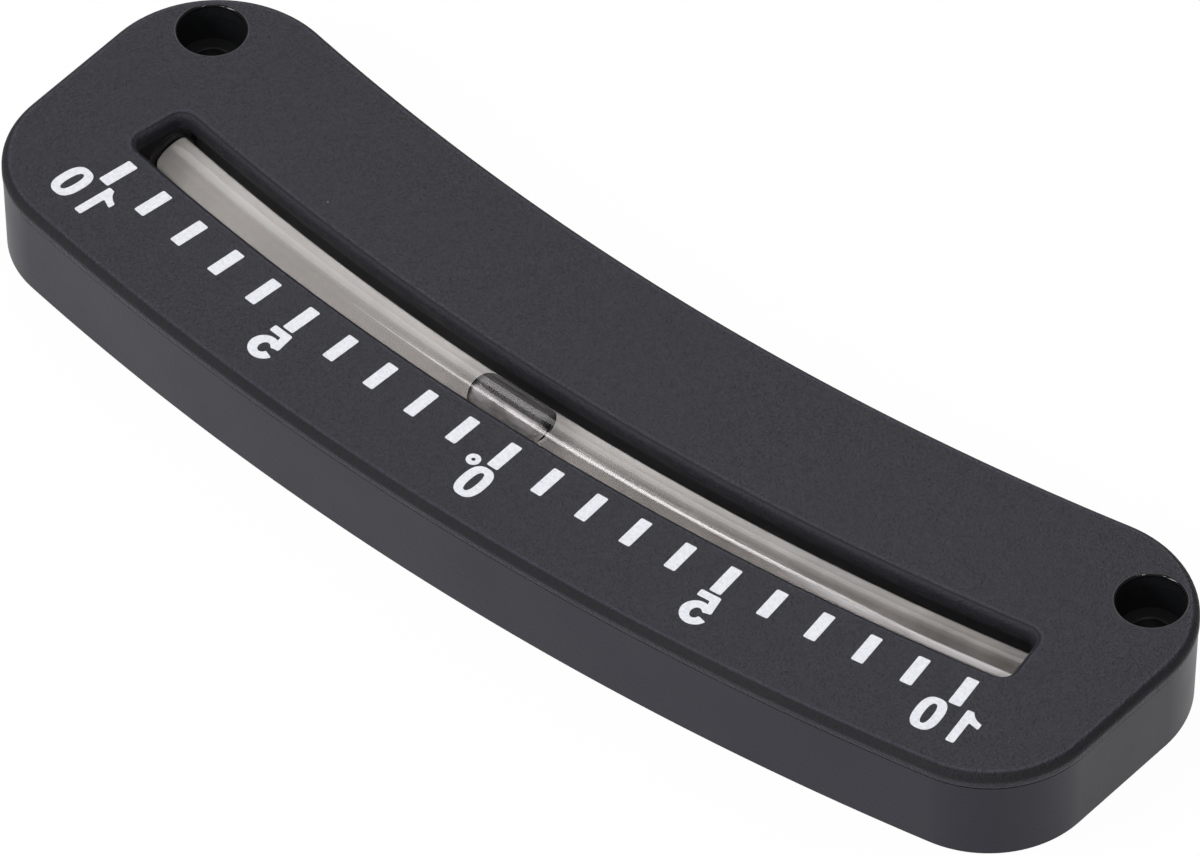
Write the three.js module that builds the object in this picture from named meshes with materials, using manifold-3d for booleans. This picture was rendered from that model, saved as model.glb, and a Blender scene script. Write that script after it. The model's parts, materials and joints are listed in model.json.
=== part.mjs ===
// A curved tube inclinometer: a moulded case with a window slot, a bent glass tube with its fluid and
// air bubble, a light strip behind the tube, and a back cover held by six screws.
import * as THREE from "three";
import { mergeVertices } from "three/addons/utils/BufferGeometryUtils.js";
import Module from "manifold-3d";

const wasm = await Module();
wasm.setup();

// Driving dimensions in millimetres. The line of the tube is an arc about the scale's centre of curvature, and
// the margins across the case are measured from that line.
const tubeLineRadius = 352.5;
const caseLength = 156.6;
const concaveMargin = 22.5;
const convexMargin = 21.5;
const concaveCornerRadius = 14.9;
const convexCornerRadius = 13.7;
const rimRounding = 1.1;
const partingDepth = 1.9;
const partingStep = 0.1;
const partingBand = 0.2;
const draftInset = 0.3;
const wallThickness = 2.6;
const faceThickness = 2.5;

// The window slot in the face.
const slotInnerMargin = 2.3;
const slotOuterMargin = 5.4;
const slotEndMargin = 14.1;
const slotCornerRadius = 1.6;
const slotRimRounding = 1;

// The glass tube and what it holds.
const tubeAxisDepth = 5.5;
const tubeOuterRadius = 2.7;
const tubeWall = 0.6;
const tubeOverhang = 0.6;
const fluidClearance = 0.1;
const plugInsertLength = 2.8;
const plugFlangeThickness = 0.8;
const plugFlangeInset = 0.15;
const bubbleLength = 11.4;
const bubbleWallGap = 0.4;
const bubbleLift = 0.2;
const bubbleClearance = 0.1;
const bubbleRestAngle = -1.15;

// The rubber cushions round the tube ends, and the pocket that each one sits in.
const cushionWall = 0.8;
const cushionLength = 3.7;
const cushionSetback = 0.9;
const pocketSetback = 1;
const pocketWall = 1.3;

// The channel that the tube lies in, the strip behind the tube and the ribs that stiffen the case.
const channelWall = 1.8;
const stripThickness = 0.5;
const stripSetback = 2.1;
const stripPadHeight = 1.9;
const ribThickness = 1.2;
const ribHeight = 4.4;
const ribPlaceShares = [-0.8, -0.5, -0.2, 0.2, 0.5, 0.8];

// The two holes that fasten the instrument.
const mountingEndMargin = 8.3;
const mountingEdgeMargin = 9.6;
const throughHoleRadius = 2.25;
const screwSeatRadius = 4.05;
const screwSeatDepth = 5.4;
const holeRimBevel = 0.25;
const mountingBossRadius = 5.8;

// The back cover, its six screws and the bosses that they bite into.
const coverThickness = 2.2;
const coverLedge = 1.3;
const coverScrewLength = 7.5;
const coverScrewRadius = 1.2;
const coverScrewHeadRadius = 2.3;
const coverScrewHeadHeight = 1.3;
const coverScrewSunk = 0.15;
const crossRecessWidth = 0.6;
const crossRecessSpan = 2.4;
const crossRecessDepth = 0.8;
const screwBossRadius = 3;
const innerScrewPlaceShares = [-0.8, 0, 0.8];
const outerScrewPlaceShares = [-0.95, 0, 0.95];

// Clearances between pieces, and the overrun of every cut.
const restGap = 0.1;
const sideGap = 0.2;
const runningGap = 0.3;
const overrun = 1;

// How finely curves are divided.
const longArcSteps = 24;
const sectorStepLength = 5.5;
const cornerSteps = 8;
const roundingSteps = 4;
const tubeSteps = 24;
const tubeSides = 16;
const endSteps = 6;
const holeSides = 36;
const screwSides = 20;

// Heights above the back face: the cover, its pad, the strip, the tube and the face, one above the other.
const coverTop = coverThickness;
const padTop = coverTop + stripPadHeight;
const stripBottom = padTop + restGap;
const stripTop = stripBottom + stripThickness;
const tubeAxisHeight = stripTop + runningGap + tubeOuterRadius;
const faceHeight = tubeAxisHeight + tubeAxisDepth;
const faceUnderside = faceHeight - faceThickness;

// Radii from the centre of curvature, and sizes across the tube.
const concaveRadius = tubeLineRadius - concaveMargin;
const convexRadius = tubeLineRadius + convexMargin;
const slotInnerRadius = tubeLineRadius - slotInnerMargin;
const slotOuterRadius = tubeLineRadius + slotOuterMargin;
const channelInnerRadius = tubeLineRadius - tubeOuterRadius - runningGap;
const innerScrewRow = (concaveRadius + wallThickness + channelInnerRadius - channelWall) / 2;
const outerScrewRow = (slotOuterRadius + channelWall + convexRadius - wallThickness) / 2;
const tubeBoreRadius = tubeOuterRadius - tubeWall;
const bubbleRadius = tubeBoreRadius - bubbleWallGap;
const cushionRadius = tubeOuterRadius + restGap + cushionWall;
const backInset = partingStep + draftInset;
const coverInset = backInset + coverLedge + sideGap;

// Places along the tube's line, counted from its middle.
const slotHalfLength = tubeLineRadius * Math.asin((caseLength / 2 - slotEndMargin) / tubeLineRadius);
const stripHalfLength = slotHalfLength - stripSetback;
const pocketStart = slotHalfLength + pocketSetback;
const cushionStart = pocketStart + cushionSetback;
const cushionEnd = cushionStart + cushionLength;
const tubeHalfLength = cushionEnd + tubeOverhang;
const pocketEnd = tubeHalfLength + restGap + plugFlangeThickness + runningGap;
const bubblePlace = tubeLineRadius * THREE.MathUtils.degToRad(bubbleRestAngle);

// The two fastening holes, from the ends and the concave edge of the case.
const mountingX = caseLength / 2 - mountingEndMargin;
const mountingY = -Math.sqrt((concaveRadius + mountingEdgeMargin) ** 2 - mountingX ** 2);

// Colours, roughness and metalness of each material.
const finishes = {
  blackPlastic: { color: 0x3b3b3f, roughness: 0.5, metalness: 0 },
  coverPlastic: { color: 0x2e2e31, roughness: 0.6, metalness: 0 },
  glass: { color: 0xd9dedd, roughness: 0.05, metalness: 0, transparent: true, opacity: 0.35 },
  fluid: { color: 0xb8b0a2, roughness: 0.1, metalness: 0, transparent: true, opacity: 0.6 },
  air: { color: 0xe6ebee, roughness: 0.05, metalness: 0, transparent: true, opacity: 0.5 },
  rubber: { color: 0x1c1c1d, roughness: 0.85, metalness: 0 },
  sealant: { color: 0xd6d2c8, roughness: 0.6, metalness: 0 },
  paleStrip: { color: 0xc8c3b8, roughness: 0.7, metalness: 0 },
  steel: { color: 0x8d9096, roughness: 0.35, metalness: 0.9 },
};

// A closed solid for cutting and joining, from a three.js geometry.
function toSolid(geometry) {
  geometry.deleteAttribute("normal");
  geometry.deleteAttribute("uv");
  const merged = mergeVertices(geometry);
  return new wasm.Manifold(new wasm.Mesh({
    numProp: 3,
    vertProperties: new Float32Array(merged.attributes.position.array),
    triVerts: new Uint32Array(merged.index.array),
  }));
}

// A three.js geometry from a solid that has been cut or joined.
function toGeometry(solid) {
  const mesh = solid.getMesh();
  const geometry = new THREE.BufferGeometry();
  geometry.setAttribute("position", new THREE.BufferAttribute(new Float32Array(mesh.vertProperties), 3));
  geometry.setIndex(new THREE.BufferAttribute(new Uint32Array(mesh.triVerts), 1));
  geometry.computeVertexNormals();
  return geometry;
}

// A named piece with its own material.
function piece(name, solid, finish) {
  const mesh = new THREE.Mesh(toGeometry(solid), new THREE.MeshStandardMaterial(finishes[finish]));
  mesh.name = name;
  return mesh;
}

// A point at a radius and an angle in degrees, counted from the middle of the scale.
function polar(radius, angle) {
  const turn = THREE.MathUtils.degToRad(angle);
  return new THREE.Vector2(radius * Math.sin(turn), -radius * Math.cos(turn));
}

// Points along an arc about a centre, both ends included.
function arcPoints(centre, radius, startAngle, endAngle, steps) {
  return Array.from({ length: steps + 1 }, (_, step) => {
    const angle = THREE.MathUtils.lerp(startAngle, endAngle, step / steps);
    return polar(radius, angle).add(centre);
  });
}

// A solid through a stack of level rings, each anticlockwise and with the same number of points.
function loft(levels) {
  const count = levels[0].ring.length;
  const positions = levels.flatMap(({ ring, height }) => ring.flatMap((point) => [point.x, point.y, height]));
  const index = [];
  for (let level = 0; level < levels.length - 1; level += 1) {
    for (let here = 0; here < count; here += 1) {
      const next = (here + 1) % count;
      const low = level * count;
      const high = low + count;
      index.push(low + here, low + next, high + next, low + here, high + next, high + here);
    }
  }
  const topStart = (levels.length - 1) * count;
  for (const [a, b, c] of THREE.ShapeUtils.triangulateShape(levels[0].ring, [])) {
    index.push(c, b, a);
  }
  for (const [a, b, c] of THREE.ShapeUtils.triangulateShape(levels.at(-1).ring, [])) {
    index.push(topStart + a, topStart + b, topStart + c);
  }
  const geometry = new THREE.BufferGeometry();
  geometry.setAttribute("position", new THREE.Float32BufferAttribute(positions, 3));
  geometry.setIndex(index);
  return toSolid(geometry);
}

// A flat plate between two radii and two places along the tube's line, standing between two heights.
function sector(innerRadius, outerRadius, start, end, low, high) {
  const centre = new THREE.Vector2(0, 0);
  const steps = Math.ceil((end - start) / sectorStepLength);
  const outer = arcPoints(centre, outerRadius, arcAngle(start), arcAngle(end), steps);
  const inner = arcPoints(centre, innerRadius, arcAngle(end), arcAngle(start), steps);
  const shape = new THREE.Shape([...outer, ...inner]);
  const plate = new THREE.ExtrudeGeometry(shape, { depth: high - low, bevelEnabled: false });
  return toSolid(plate.translate(0, 0, low));
}

// A solid turned about an upright axis, from its profile of radius and height.
function turned(profile, sides, x, y) {
  const points = profile.map(([radius, height]) => new THREE.Vector2(radius, height));
  const body = new THREE.LatheGeometry(points, sides).rotateX(Math.PI / 2);
  return toSolid(body.translate(x, y, 0));
}

// An upright cylinder between two heights.
function post(radius, low, high, sides, x, y) {
  return turned([[0, low], [radius, low], [radius, high], [0, high]], sides, x, y);
}

// The angle in degrees that a length takes up along the tube.
function arcAngle(length) {
  return THREE.MathUtils.radToDeg(length / tubeLineRadius);
}

// Profile points at one radius, between two places along the tube.
function level(radius, start, end, steps) {
  return Array.from({ length: steps + 1 }, (_, step) => {
    return [radius, THREE.MathUtils.lerp(start, end, step / steps)];
  });
}

// A solid turned about the tube's axis, from its profile of radius and place, then bent along the scale and lifted.
function bent(profile, lift) {
  const points = profile.map(([radius, place]) => new THREE.Vector2(radius, place));
  const geometry = new THREE.LatheGeometry(points, tubeSides).rotateZ(-Math.PI / 2);
  const position = geometry.attributes.position;
  for (let index = 0; index < position.count; index += 1) {
    const place = polar(tubeLineRadius - position.getY(index), arcAngle(position.getX(index)));
    position.setXYZ(index, place.x, place.y, tubeAxisHeight + lift + position.getZ(index));
  }
  return toSolid(geometry);
}

// A round bar along the tube's axis, as far as one place on both sides.
function bentBar(radius, end) {
  return bent([[0, -end], ...level(radius, -end, end, tubeSteps), [0, end]], 0);
}

// The outline of the case, drawn in by an inset on every side.
function caseOutline(inset) {
  const outer = convexRadius - inset;
  const inner = concaveRadius + inset;
  const lowCorner = convexCornerRadius - inset;
  const highCorner = concaveCornerRadius - inset;
  const lowX = caseLength / 2 - convexCornerRadius;
  const highX = caseLength / 2 - concaveCornerRadius;
  const lowY = -Math.sqrt((convexRadius - convexCornerRadius) ** 2 - lowX ** 2);
  const highY = -Math.sqrt((concaveRadius + concaveCornerRadius) ** 2 - highX ** 2);
  const lowAngle = THREE.MathUtils.radToDeg(Math.atan2(lowX, -lowY));
  const highAngle = THREE.MathUtils.radToDeg(Math.atan2(highX, -highY));
  const centre = new THREE.Vector2(0, 0);
  const right = [
    ...arcPoints(new THREE.Vector2(lowX, lowY), lowCorner, lowAngle, 90, cornerSteps),
    ...arcPoints(new THREE.Vector2(highX, highY), highCorner, 90, 180 + highAngle, cornerSteps),
  ];
  const left = right.map((point) => new THREE.Vector2(-point.x, point.y)).reverse();
  const top = arcPoints(centre, inner, highAngle, -highAngle, longArcSteps).slice(1, -1);
  const bottom = arcPoints(centre, outer, -lowAngle, lowAngle, longArcSteps).slice(1, -1);
  return [...right, ...top, ...left, ...bottom];
}

// The outline of the window slot, widened by a margin on every side.
function slotOutline(margin) {
  const outer = slotOuterRadius + margin;
  const inner = slotInnerRadius - margin;
  const corner = slotCornerRadius + margin;
  const outerCentreRadius = slotOuterRadius - slotCornerRadius;
  const innerCentreRadius = slotInnerRadius + slotCornerRadius;
  const slotHalfAngle = arcAngle(slotHalfLength);
  const outerTurn = Math.asin(slotCornerRadius / outerCentreRadius);
  const innerTurn = Math.asin(slotCornerRadius / innerCentreRadius);
  const outerAngle = slotHalfAngle - THREE.MathUtils.radToDeg(outerTurn);
  const innerAngle = slotHalfAngle - THREE.MathUtils.radToDeg(innerTurn);
  const outerCentre = polar(outerCentreRadius, outerAngle);
  const innerCentre = polar(innerCentreRadius, innerAngle);
  const right = [
    ...arcPoints(outerCentre, corner, outerAngle, slotHalfAngle + 90, cornerSteps),
    ...arcPoints(innerCentre, corner, slotHalfAngle + 90, 180 + innerAngle, cornerSteps),
  ];
  const left = right.map((point) => new THREE.Vector2(-point.x, point.y)).reverse();
  const centre = new THREE.Vector2(0, 0);
  const top = arcPoints(centre, inner, innerAngle, -innerAngle, longArcSteps).slice(1, -1);
  const bottom = arcPoints(centre, outer, -outerAngle, outerAngle, longArcSteps).slice(1, -1);
  return [...right, ...top, ...left, ...bottom];
}

// The outside of the case: a rounded rim, a parting step below it, and walls drawn in towards the back.
function caseEnvelope() {
  const partingHeight = faceHeight - partingDepth;
  const levels = [
    { ring: caseOutline(backInset), height: 0 },
    { ring: caseOutline(partingStep), height: partingHeight - partingBand },
    { ring: caseOutline(0), height: partingHeight },
  ];
  for (let step = 0; step <= roundingSteps; step += 1) {
    const turn = (Math.PI / 2) * (step / roundingSteps);
    levels.push({
      ring: caseOutline(rimRounding * (1 - Math.cos(turn))),
      height: faceHeight - rimRounding * (1 - Math.sin(turn)),
    });
  }
  return loft(levels);
}

// The hollow behind the face, open at the back, with the ledge that takes the cover.
function caseHollow() {
  const inside = loft([
    { ring: caseOutline(backInset + wallThickness), height: -overrun },
    { ring: caseOutline(backInset + wallThickness), height: faceUnderside },
  ]);
  const ledge = loft([
    { ring: caseOutline(backInset + coverLedge), height: -overrun },
    { ring: caseOutline(backInset + coverLedge), height: coverTop + restGap },
  ]);
  return inside.add(ledge);
}

// The window opening with a rounded rim at the face.
function slotCut() {
  const levels = [{ ring: slotOutline(0), height: -overrun }];
  for (let step = 0; step <= roundingSteps; step += 1) {
    const turn = (Math.PI / 2) * (step / roundingSteps);
    levels.push({
      ring: slotOutline(slotRimRounding * (1 - Math.cos(turn))),
      height: faceHeight - slotRimRounding * (1 - Math.sin(turn)),
    });
  }
  levels.push({ ring: slotOutline(slotRimRounding), height: faceHeight + overrun });
  return loft(levels);
}

// The stepped hole for one fastening screw, with a bevelled mouth.
function mountingHoleCut(side) {
  const seatHeight = faceHeight - screwSeatDepth;
  return turned([
    [0, -overrun],
    [throughHoleRadius, -overrun],
    [throughHoleRadius, seatHeight],
    [screwSeatRadius, seatHeight],
    [screwSeatRadius, faceHeight - holeRimBevel],
    [screwSeatRadius + holeRimBevel, faceHeight],
    [screwSeatRadius + holeRimBevel, faceHeight + overrun],
    [0, faceHeight + overrun],
  ], holeSides, side * mountingX, mountingY);
}

// The places of the six cover screws.
function coverScrewPlaces() {
  const inner = innerScrewPlaceShares.map((share) => polar(innerScrewRow, arcAngle(share * slotHalfLength)));
  const outer = outerScrewPlaceShares.map((share) => polar(outerScrewRow, arcAngle(share * slotHalfLength)));
  return [...inner, ...outer];
}

// The walls on both sides of the tube, and the block round each cushion.
function channelWalls() {
  const low = coverTop + restGap;
  const high = faceUnderside + overrun;
  const inner = channelInnerRadius - channelWall;
  const outer = slotOuterRadius + channelWall;
  const blockInner = inner - sideGap;
  const blockOuter = outer + sideGap;
  const blockEnd = pocketEnd + pocketWall;
  const blockStart = slotHalfLength - pocketWall;
  return sector(inner, channelInnerRadius, -slotHalfLength, slotHalfLength, low, high)
    .add(sector(slotOuterRadius - sideGap, outer, -slotHalfLength, slotHalfLength, low, high))
    .add(sector(blockInner, blockOuter, blockStart, blockEnd, low, high))
    .add(sector(blockInner, blockOuter, -blockEnd, -blockStart, low, high));
}

// The pocket of each cushion, and the way that the tube takes from the back into its seat.
function tubeRoom() {
  const pocketRadius = cushionRadius + restGap;
  const passage = tubeOuterRadius + sideGap;
  const inner = tubeLineRadius - pocketRadius;
  const outer = tubeLineRadius + pocketRadius;
  const pocketTop = tubeAxisHeight + pocketRadius;
  const reach = (pocketStart + pocketEnd) / 2;
  const halfWay = tubeOuterRadius + restGap;
  return bentBar(passage, reach)
    .add(sector(tubeLineRadius - halfWay, tubeLineRadius + halfWay, -reach, reach, -overrun, tubeAxisHeight))
    .add(sector(inner, outer, pocketStart, pocketEnd, -overrun, pocketTop))
    .add(sector(inner, outer, -pocketEnd, -pocketStart, -overrun, pocketTop));
}

// Upright ribs between the channel and the outer walls.
function stiffeningRibs() {
  const low = faceUnderside - ribHeight;
  const height = ribHeight + overrun;
  const spans = [
    [concaveRadius + wallThickness, channelInnerRadius - channelWall / 2],
    [slotOuterRadius + channelWall / 2, convexRadius - wallThickness],
  ];
  const ribs = ribPlaceShares.flatMap((share) => spans.map(([start, end]) => {
    const angle = arcAngle(share * slotHalfLength);
    const middle = polar((start + end) / 2, angle);
    const rib = new THREE.BoxGeometry(ribThickness, end - start, height)
      .rotateZ(THREE.MathUtils.degToRad(angle))
      .translate(middle.x, middle.y, low + height / 2);
    return toSolid(rib);
  }));
  return ribs.reduce((joined, rib) => joined.add(rib));
}

// Bosses for the fastening holes and for the cover screws.
function bosses() {
  const high = faceUnderside + overrun;
  const mounting = [-1, 1].map((side) => {
    return post(mountingBossRadius, -overrun, high, holeSides, side * mountingX, mountingY);
  });
  const forScrews = coverScrewPlaces().map((place) => {
    return post(screwBossRadius, coverTop + restGap, high, screwSides, place.x, place.y);
  });
  return [...mounting, ...forScrews].reduce((joined, boss) => joined.add(boss));
}

// The pilot hole of one cover screw.
function pilotHole(place) {
  const top = coverScrewSunk + coverScrewLength + runningGap;
  return post(coverScrewRadius + restGap, 0, top, screwSides, place.x, place.y);
}

// The moulded front case: its outside, less the hollow that its walls, ribs and bosses leave.
function makeFrontCase() {
  const hollow = caseHollow().subtract(channelWalls()).subtract(stiffeningRibs()).subtract(bosses());
  let body = caseEnvelope().subtract(hollow).subtract(slotCut()).subtract(tubeRoom());
  for (const side of [-1, 1]) {
    body = body.subtract(mountingHoleCut(side));
  }
  for (const place of coverScrewPlaces()) {
    body = body.subtract(pilotHole(place));
  }
  return piece("front_case", body, "blackPlastic");
}

// The flat back cover with its raised pad under the strip, notched round the fastening bosses.
function makeBackCover() {
  const plate = loft([
    { ring: caseOutline(coverInset), height: 0 },
    { ring: caseOutline(coverInset), height: coverTop },
  ]);
  const padInner = channelInnerRadius + sideGap;
  const padOuter = slotOuterRadius - sideGap;
  const pad = sector(padInner, padOuter, -stripHalfLength, stripHalfLength, coverTop - restGap, padTop);
  let body = plate.add(pad);
  for (const side of [-1, 1]) {
    const near = side * cushionStart;
    const far = side * cushionEnd;
    const rest = sector(
      tubeLineRadius - cushionRadius + cushionWall,
      tubeLineRadius + cushionRadius - cushionWall,
      Math.min(near, far),
      Math.max(near, far),
      coverTop - restGap,
      tubeAxisHeight - cushionRadius - restGap,
    );
    const notch = post(
      mountingBossRadius + sideGap,
      -overrun,
      coverTop + overrun,
      holeSides,
      side * mountingX,
      mountingY,
    );
    body = body.add(rest).subtract(notch);
  }
  for (const place of coverScrewPlaces()) {
    body = body.subtract(countersink(place));
  }
  return piece("back_cover", body, "coverPlastic");
}

// The sunk hole that one cover screw passes through.
function countersink(place) {
  const mouth = coverScrewHeadRadius + sideGap;
  const neck = coverScrewRadius + sideGap;
  const coneEnd = coverScrewSunk + coverScrewHeadHeight;
  return turned([
    [0, -overrun],
    [mouth, -overrun],
    [mouth, coverScrewSunk],
    [neck, coneEnd],
    [neck, coverTop + overrun],
    [0, coverTop + overrun],
  ], screwSides, place.x, place.y);
}

// One countersunk cover screw with a cross recess, its head in the back face.
function makeCoverScrew(name) {
  const tip = coverScrewLength - coverScrewRadius;
  const shank = turned([
    [0, 0],
    [coverScrewHeadRadius, 0],
    [coverScrewRadius, coverScrewHeadHeight],
    [coverScrewRadius, tip],
    [0, coverScrewLength],
  ], screwSides, 0, 0);
  const arm = new THREE.BoxGeometry(crossRecessSpan, crossRecessWidth, crossRecessDepth * 2);
  const crossArm = arm.clone().rotateZ(Math.PI / 2);
  return piece(name, shank.subtract(toSolid(arm)).subtract(toSolid(crossArm)), "steel");
}

// The bent glass tube, open at both ends.
function makeGlassTube() {
  const outside = level(tubeOuterRadius, -tubeHalfLength, tubeHalfLength, tubeSteps);
  const bore = level(tubeBoreRadius, tubeHalfLength, -tubeHalfLength, tubeSteps);
  return piece("glass_tube", bent([...outside, ...bore, outside[0]], 0), "glass");
}

// A stepped plug that closes one end of the tube.
function makeTubePlug(name, side) {
  const insert = tubeBoreRadius - fluidClearance;
  const flange = tubeOuterRadius - plugFlangeInset;
  const body = turned([
    [0, -plugInsertLength],
    [insert, -plugInsertLength],
    [insert, restGap],
    [flange, restGap],
    [flange, restGap + plugFlangeThickness],
    [0, restGap + plugFlangeThickness],
  ], tubeSides, 0, 0);
  const plug = piece(name, body, "sealant");
  const angle = side * arcAngle(tubeHalfLength);
  const end = polar(tubeLineRadius, angle);
  plug.position.set(end.x, end.y, tubeAxisHeight);
  plug.rotation.set(0, side * Math.PI / 2, THREE.MathUtils.degToRad(angle), "ZYX");
  return plug;
}

// A pill shape with round ends, bent along the scale, where the bubble rests.
function bubbleShape(margin) {
  const radius = bubbleRadius + margin;
  const reach = bubbleLength / 2 - bubbleRadius;
  const profile = [];
  for (const side of [-1, 1]) {
    for (let step = 0; step <= endSteps; step += 1) {
      const turn = (Math.PI / 2) * (side < 0 ? step : endSteps - step) / endSteps;
      profile.push([radius * Math.sin(turn), bubblePlace + side * (reach + radius * Math.cos(turn))]);
    }
  }
  return bent(profile, bubbleLift);
}

// The fluid column between the plugs, with the hollow that the bubble lies in.
function makeDampingFluid() {
  const column = bentBar(tubeBoreRadius - fluidClearance, tubeHalfLength - plugInsertLength - runningGap);
  const halfLength = bubbleLength / 2 + bubbleClearance;
  const mouth = sector(
    tubeLineRadius - tubeOuterRadius,
    tubeLineRadius + tubeOuterRadius,
    bubblePlace - halfLength,
    bubblePlace + halfLength,
    tubeAxisHeight + bubbleLift / 2,
    tubeAxisHeight + tubeOuterRadius,
  );
  return piece("damping_fluid", column.subtract(bubbleShape(bubbleClearance)).subtract(mouth), "fluid");
}

// The air bubble, where it rests in the tube.
function makeAirBubble() {
  return piece("air_bubble", bubbleShape(0), "air");
}

// A rubber cushion round one end of the tube.
function makeTubeCushion(name, side) {
  const start = Math.min(side * cushionStart, side * cushionEnd);
  const end = Math.max(side * cushionStart, side * cushionEnd);
  const outside = level(cushionRadius, start, end, 1);
  const bore = level(tubeOuterRadius + restGap, end, start, 1);
  return piece(name, bent([...outside, ...bore, outside[0]], 0), "rubber");
}

// The pale strip behind the tube. A narrow tongue at each end follows the tube into its seat.
function makeBackingStrip() {
  const inner = channelInnerRadius + sideGap;
  const outer = slotOuterRadius - sideGap;
  const tongueInner = tubeLineRadius - tubeOuterRadius + sideGap;
  const tongueOuter = tubeLineRadius + tubeOuterRadius - sideGap;
  const reach = cushionStart - sideGap;
  const wide = sector(inner, outer, -stripHalfLength, stripHalfLength, stripBottom, stripTop);
  const tongues = sector(tongueInner, tongueOuter, -reach, reach, stripBottom, stripTop);
  return piece("backing_strip", wide.add(tongues), "paleStrip");
}

const instrument = new THREE.Group();
instrument.add(
  makeFrontCase(),
  makeBackCover(),
  makeGlassTube(),
  makeTubePlug("tube_plug_left", -1),
  makeTubePlug("tube_plug_right", 1),
  makeDampingFluid(),
  makeAirBubble(),
  makeTubeCushion("tube_cushion_left", -1),
  makeTubeCushion("tube_cushion_right", 1),
  makeBackingStrip(),
);
coverScrewPlaces().forEach((place, number) => {
  const screw = makeCoverScrew(`cover_screw_${number + 1}`);
  screw.position.set(place.x, place.y, coverScrewSunk);
  instrument.add(screw);
});

// The origin is the middle of the back face, so the centre of the scale lies above it along +Y.
const outline = caseOutline(0);
const highest = Math.max(...outline.map((point) => point.y));
const lowest = Math.min(...outline.map((point) => point.y));
instrument.position.y = -(highest + lowest) / 2;

const part = new THREE.Group();
part.add(instrument);

export default part;
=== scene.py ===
# %% [markdown]
# # A curved tube inclinometer
#
# The instrument is an arched black case with a long window slot. Behind the slot lies a bent glass tube,
# almost full of a clear fluid, and the air bubble left in it creeps to the highest point of the bend. Ticks
# and numbers printed along the slot turn the bubble's place into an angle.
#
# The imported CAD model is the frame: it fixes every size and place. Each visible piece is made again here
# with finer curves, laid exactly where the CAD piece is, and then stands for it.

import json
import math

import bmesh
import bpy
from mathutils import Matrix, Vector


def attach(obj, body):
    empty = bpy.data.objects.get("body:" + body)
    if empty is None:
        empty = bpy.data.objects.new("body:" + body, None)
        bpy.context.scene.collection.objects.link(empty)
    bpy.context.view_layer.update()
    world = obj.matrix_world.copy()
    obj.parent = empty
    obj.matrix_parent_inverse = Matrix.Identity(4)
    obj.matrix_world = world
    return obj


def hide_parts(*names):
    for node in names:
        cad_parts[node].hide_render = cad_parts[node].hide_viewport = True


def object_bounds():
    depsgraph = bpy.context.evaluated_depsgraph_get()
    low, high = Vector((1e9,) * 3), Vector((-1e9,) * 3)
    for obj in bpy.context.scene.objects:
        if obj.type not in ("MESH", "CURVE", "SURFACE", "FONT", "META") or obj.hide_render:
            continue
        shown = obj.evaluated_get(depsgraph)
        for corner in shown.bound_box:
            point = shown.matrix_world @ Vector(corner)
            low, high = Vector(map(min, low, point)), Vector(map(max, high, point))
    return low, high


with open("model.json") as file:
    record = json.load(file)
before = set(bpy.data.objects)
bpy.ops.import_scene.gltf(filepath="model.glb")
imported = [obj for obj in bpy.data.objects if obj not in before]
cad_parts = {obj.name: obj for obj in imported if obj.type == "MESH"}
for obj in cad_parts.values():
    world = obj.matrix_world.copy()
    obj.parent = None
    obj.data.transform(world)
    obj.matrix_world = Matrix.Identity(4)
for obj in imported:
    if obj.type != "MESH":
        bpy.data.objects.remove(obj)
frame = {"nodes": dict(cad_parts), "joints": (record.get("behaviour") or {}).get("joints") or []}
cad_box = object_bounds()
print("CAD box in metres:", [tuple(round(v, 4) for v in corner) for corner in cad_box])

# %% [markdown]
# ## The scale's own coordinates
#
# Everything on this instrument follows one arc. It is easiest to draw in millimetres from the arc's centre,
# with an angle counted from the middle of the scale, and to move the result at the end. The joint that the
# bubble turns about stands in that centre, so its place in the frame gives the shift.

# %% Points along the scale
MM = 0.001
CENTRE_Y = frame["joints"][0]["pos_m"][1] / MM
TUBE_LINE_RADIUS = 352.5


def polar(radius, angle):
    """A point by its distance from the scale's centre and its angle from the middle of the scale."""
    turn = math.radians(angle)
    return Vector((radius * math.sin(turn), -radius * math.cos(turn)))


def arc_angle(length):
    return math.degrees(length / TUBE_LINE_RADIUS)


def arc_points(centre, radius, start, end, steps):
    return [centre + polar(radius, start + (end - start) * i / steps) for i in range(steps + 1)]


print("centre of the scale:", round(CENTRE_Y, 3), "mm above the middle of the case")

# %% [markdown]
# ## Small tools for solid shapes
#
# A moulded case is a few plain solids, joined and cut. Three makers cover all of them: a loft through level
# rings, a shape turned about a line, and a boolean step. They work in millimetres, because Blender's mesh
# tools merge points that are very close together, and `to_frame` scales a finished mesh to metres.

# %% A mesh from points and faces
def add_object(name, data):
    made = bpy.data.objects.new(name, data)
    bpy.context.scene.collection.objects.link(made)
    return made


def solid(name, points, faces):
    mesh = bpy.data.meshes.new(name)
    mesh.from_pydata([(x, y + CENTRE_Y, z) for x, y, z in points], [], faces)
    shape = bmesh.new()
    shape.from_mesh(mesh)
    if shape.calc_volume(signed=True) < 0:
        bmesh.ops.reverse_faces(shape, faces=shape.faces)
    shape.to_mesh(mesh)
    shape.free()
    return add_object(name, mesh)


def loft(name, levels):
    """A closed solid through (ring, height) levels with equally many points each."""
    count = len(levels[0][0])
    points = [(p.x, p.y, height) for ring, height in levels for p in ring]
    faces = [tuple(reversed(range(count)))]
    for low in range(0, count * (len(levels) - 1), count):
        for i in range(count):
            j = (i + 1) % count
            faces.append((low + i, low + j, low + count + j, low + count + i))
    faces.append(tuple(range(count * (len(levels) - 1), count * len(levels))))
    return solid(name, points, faces)


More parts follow.
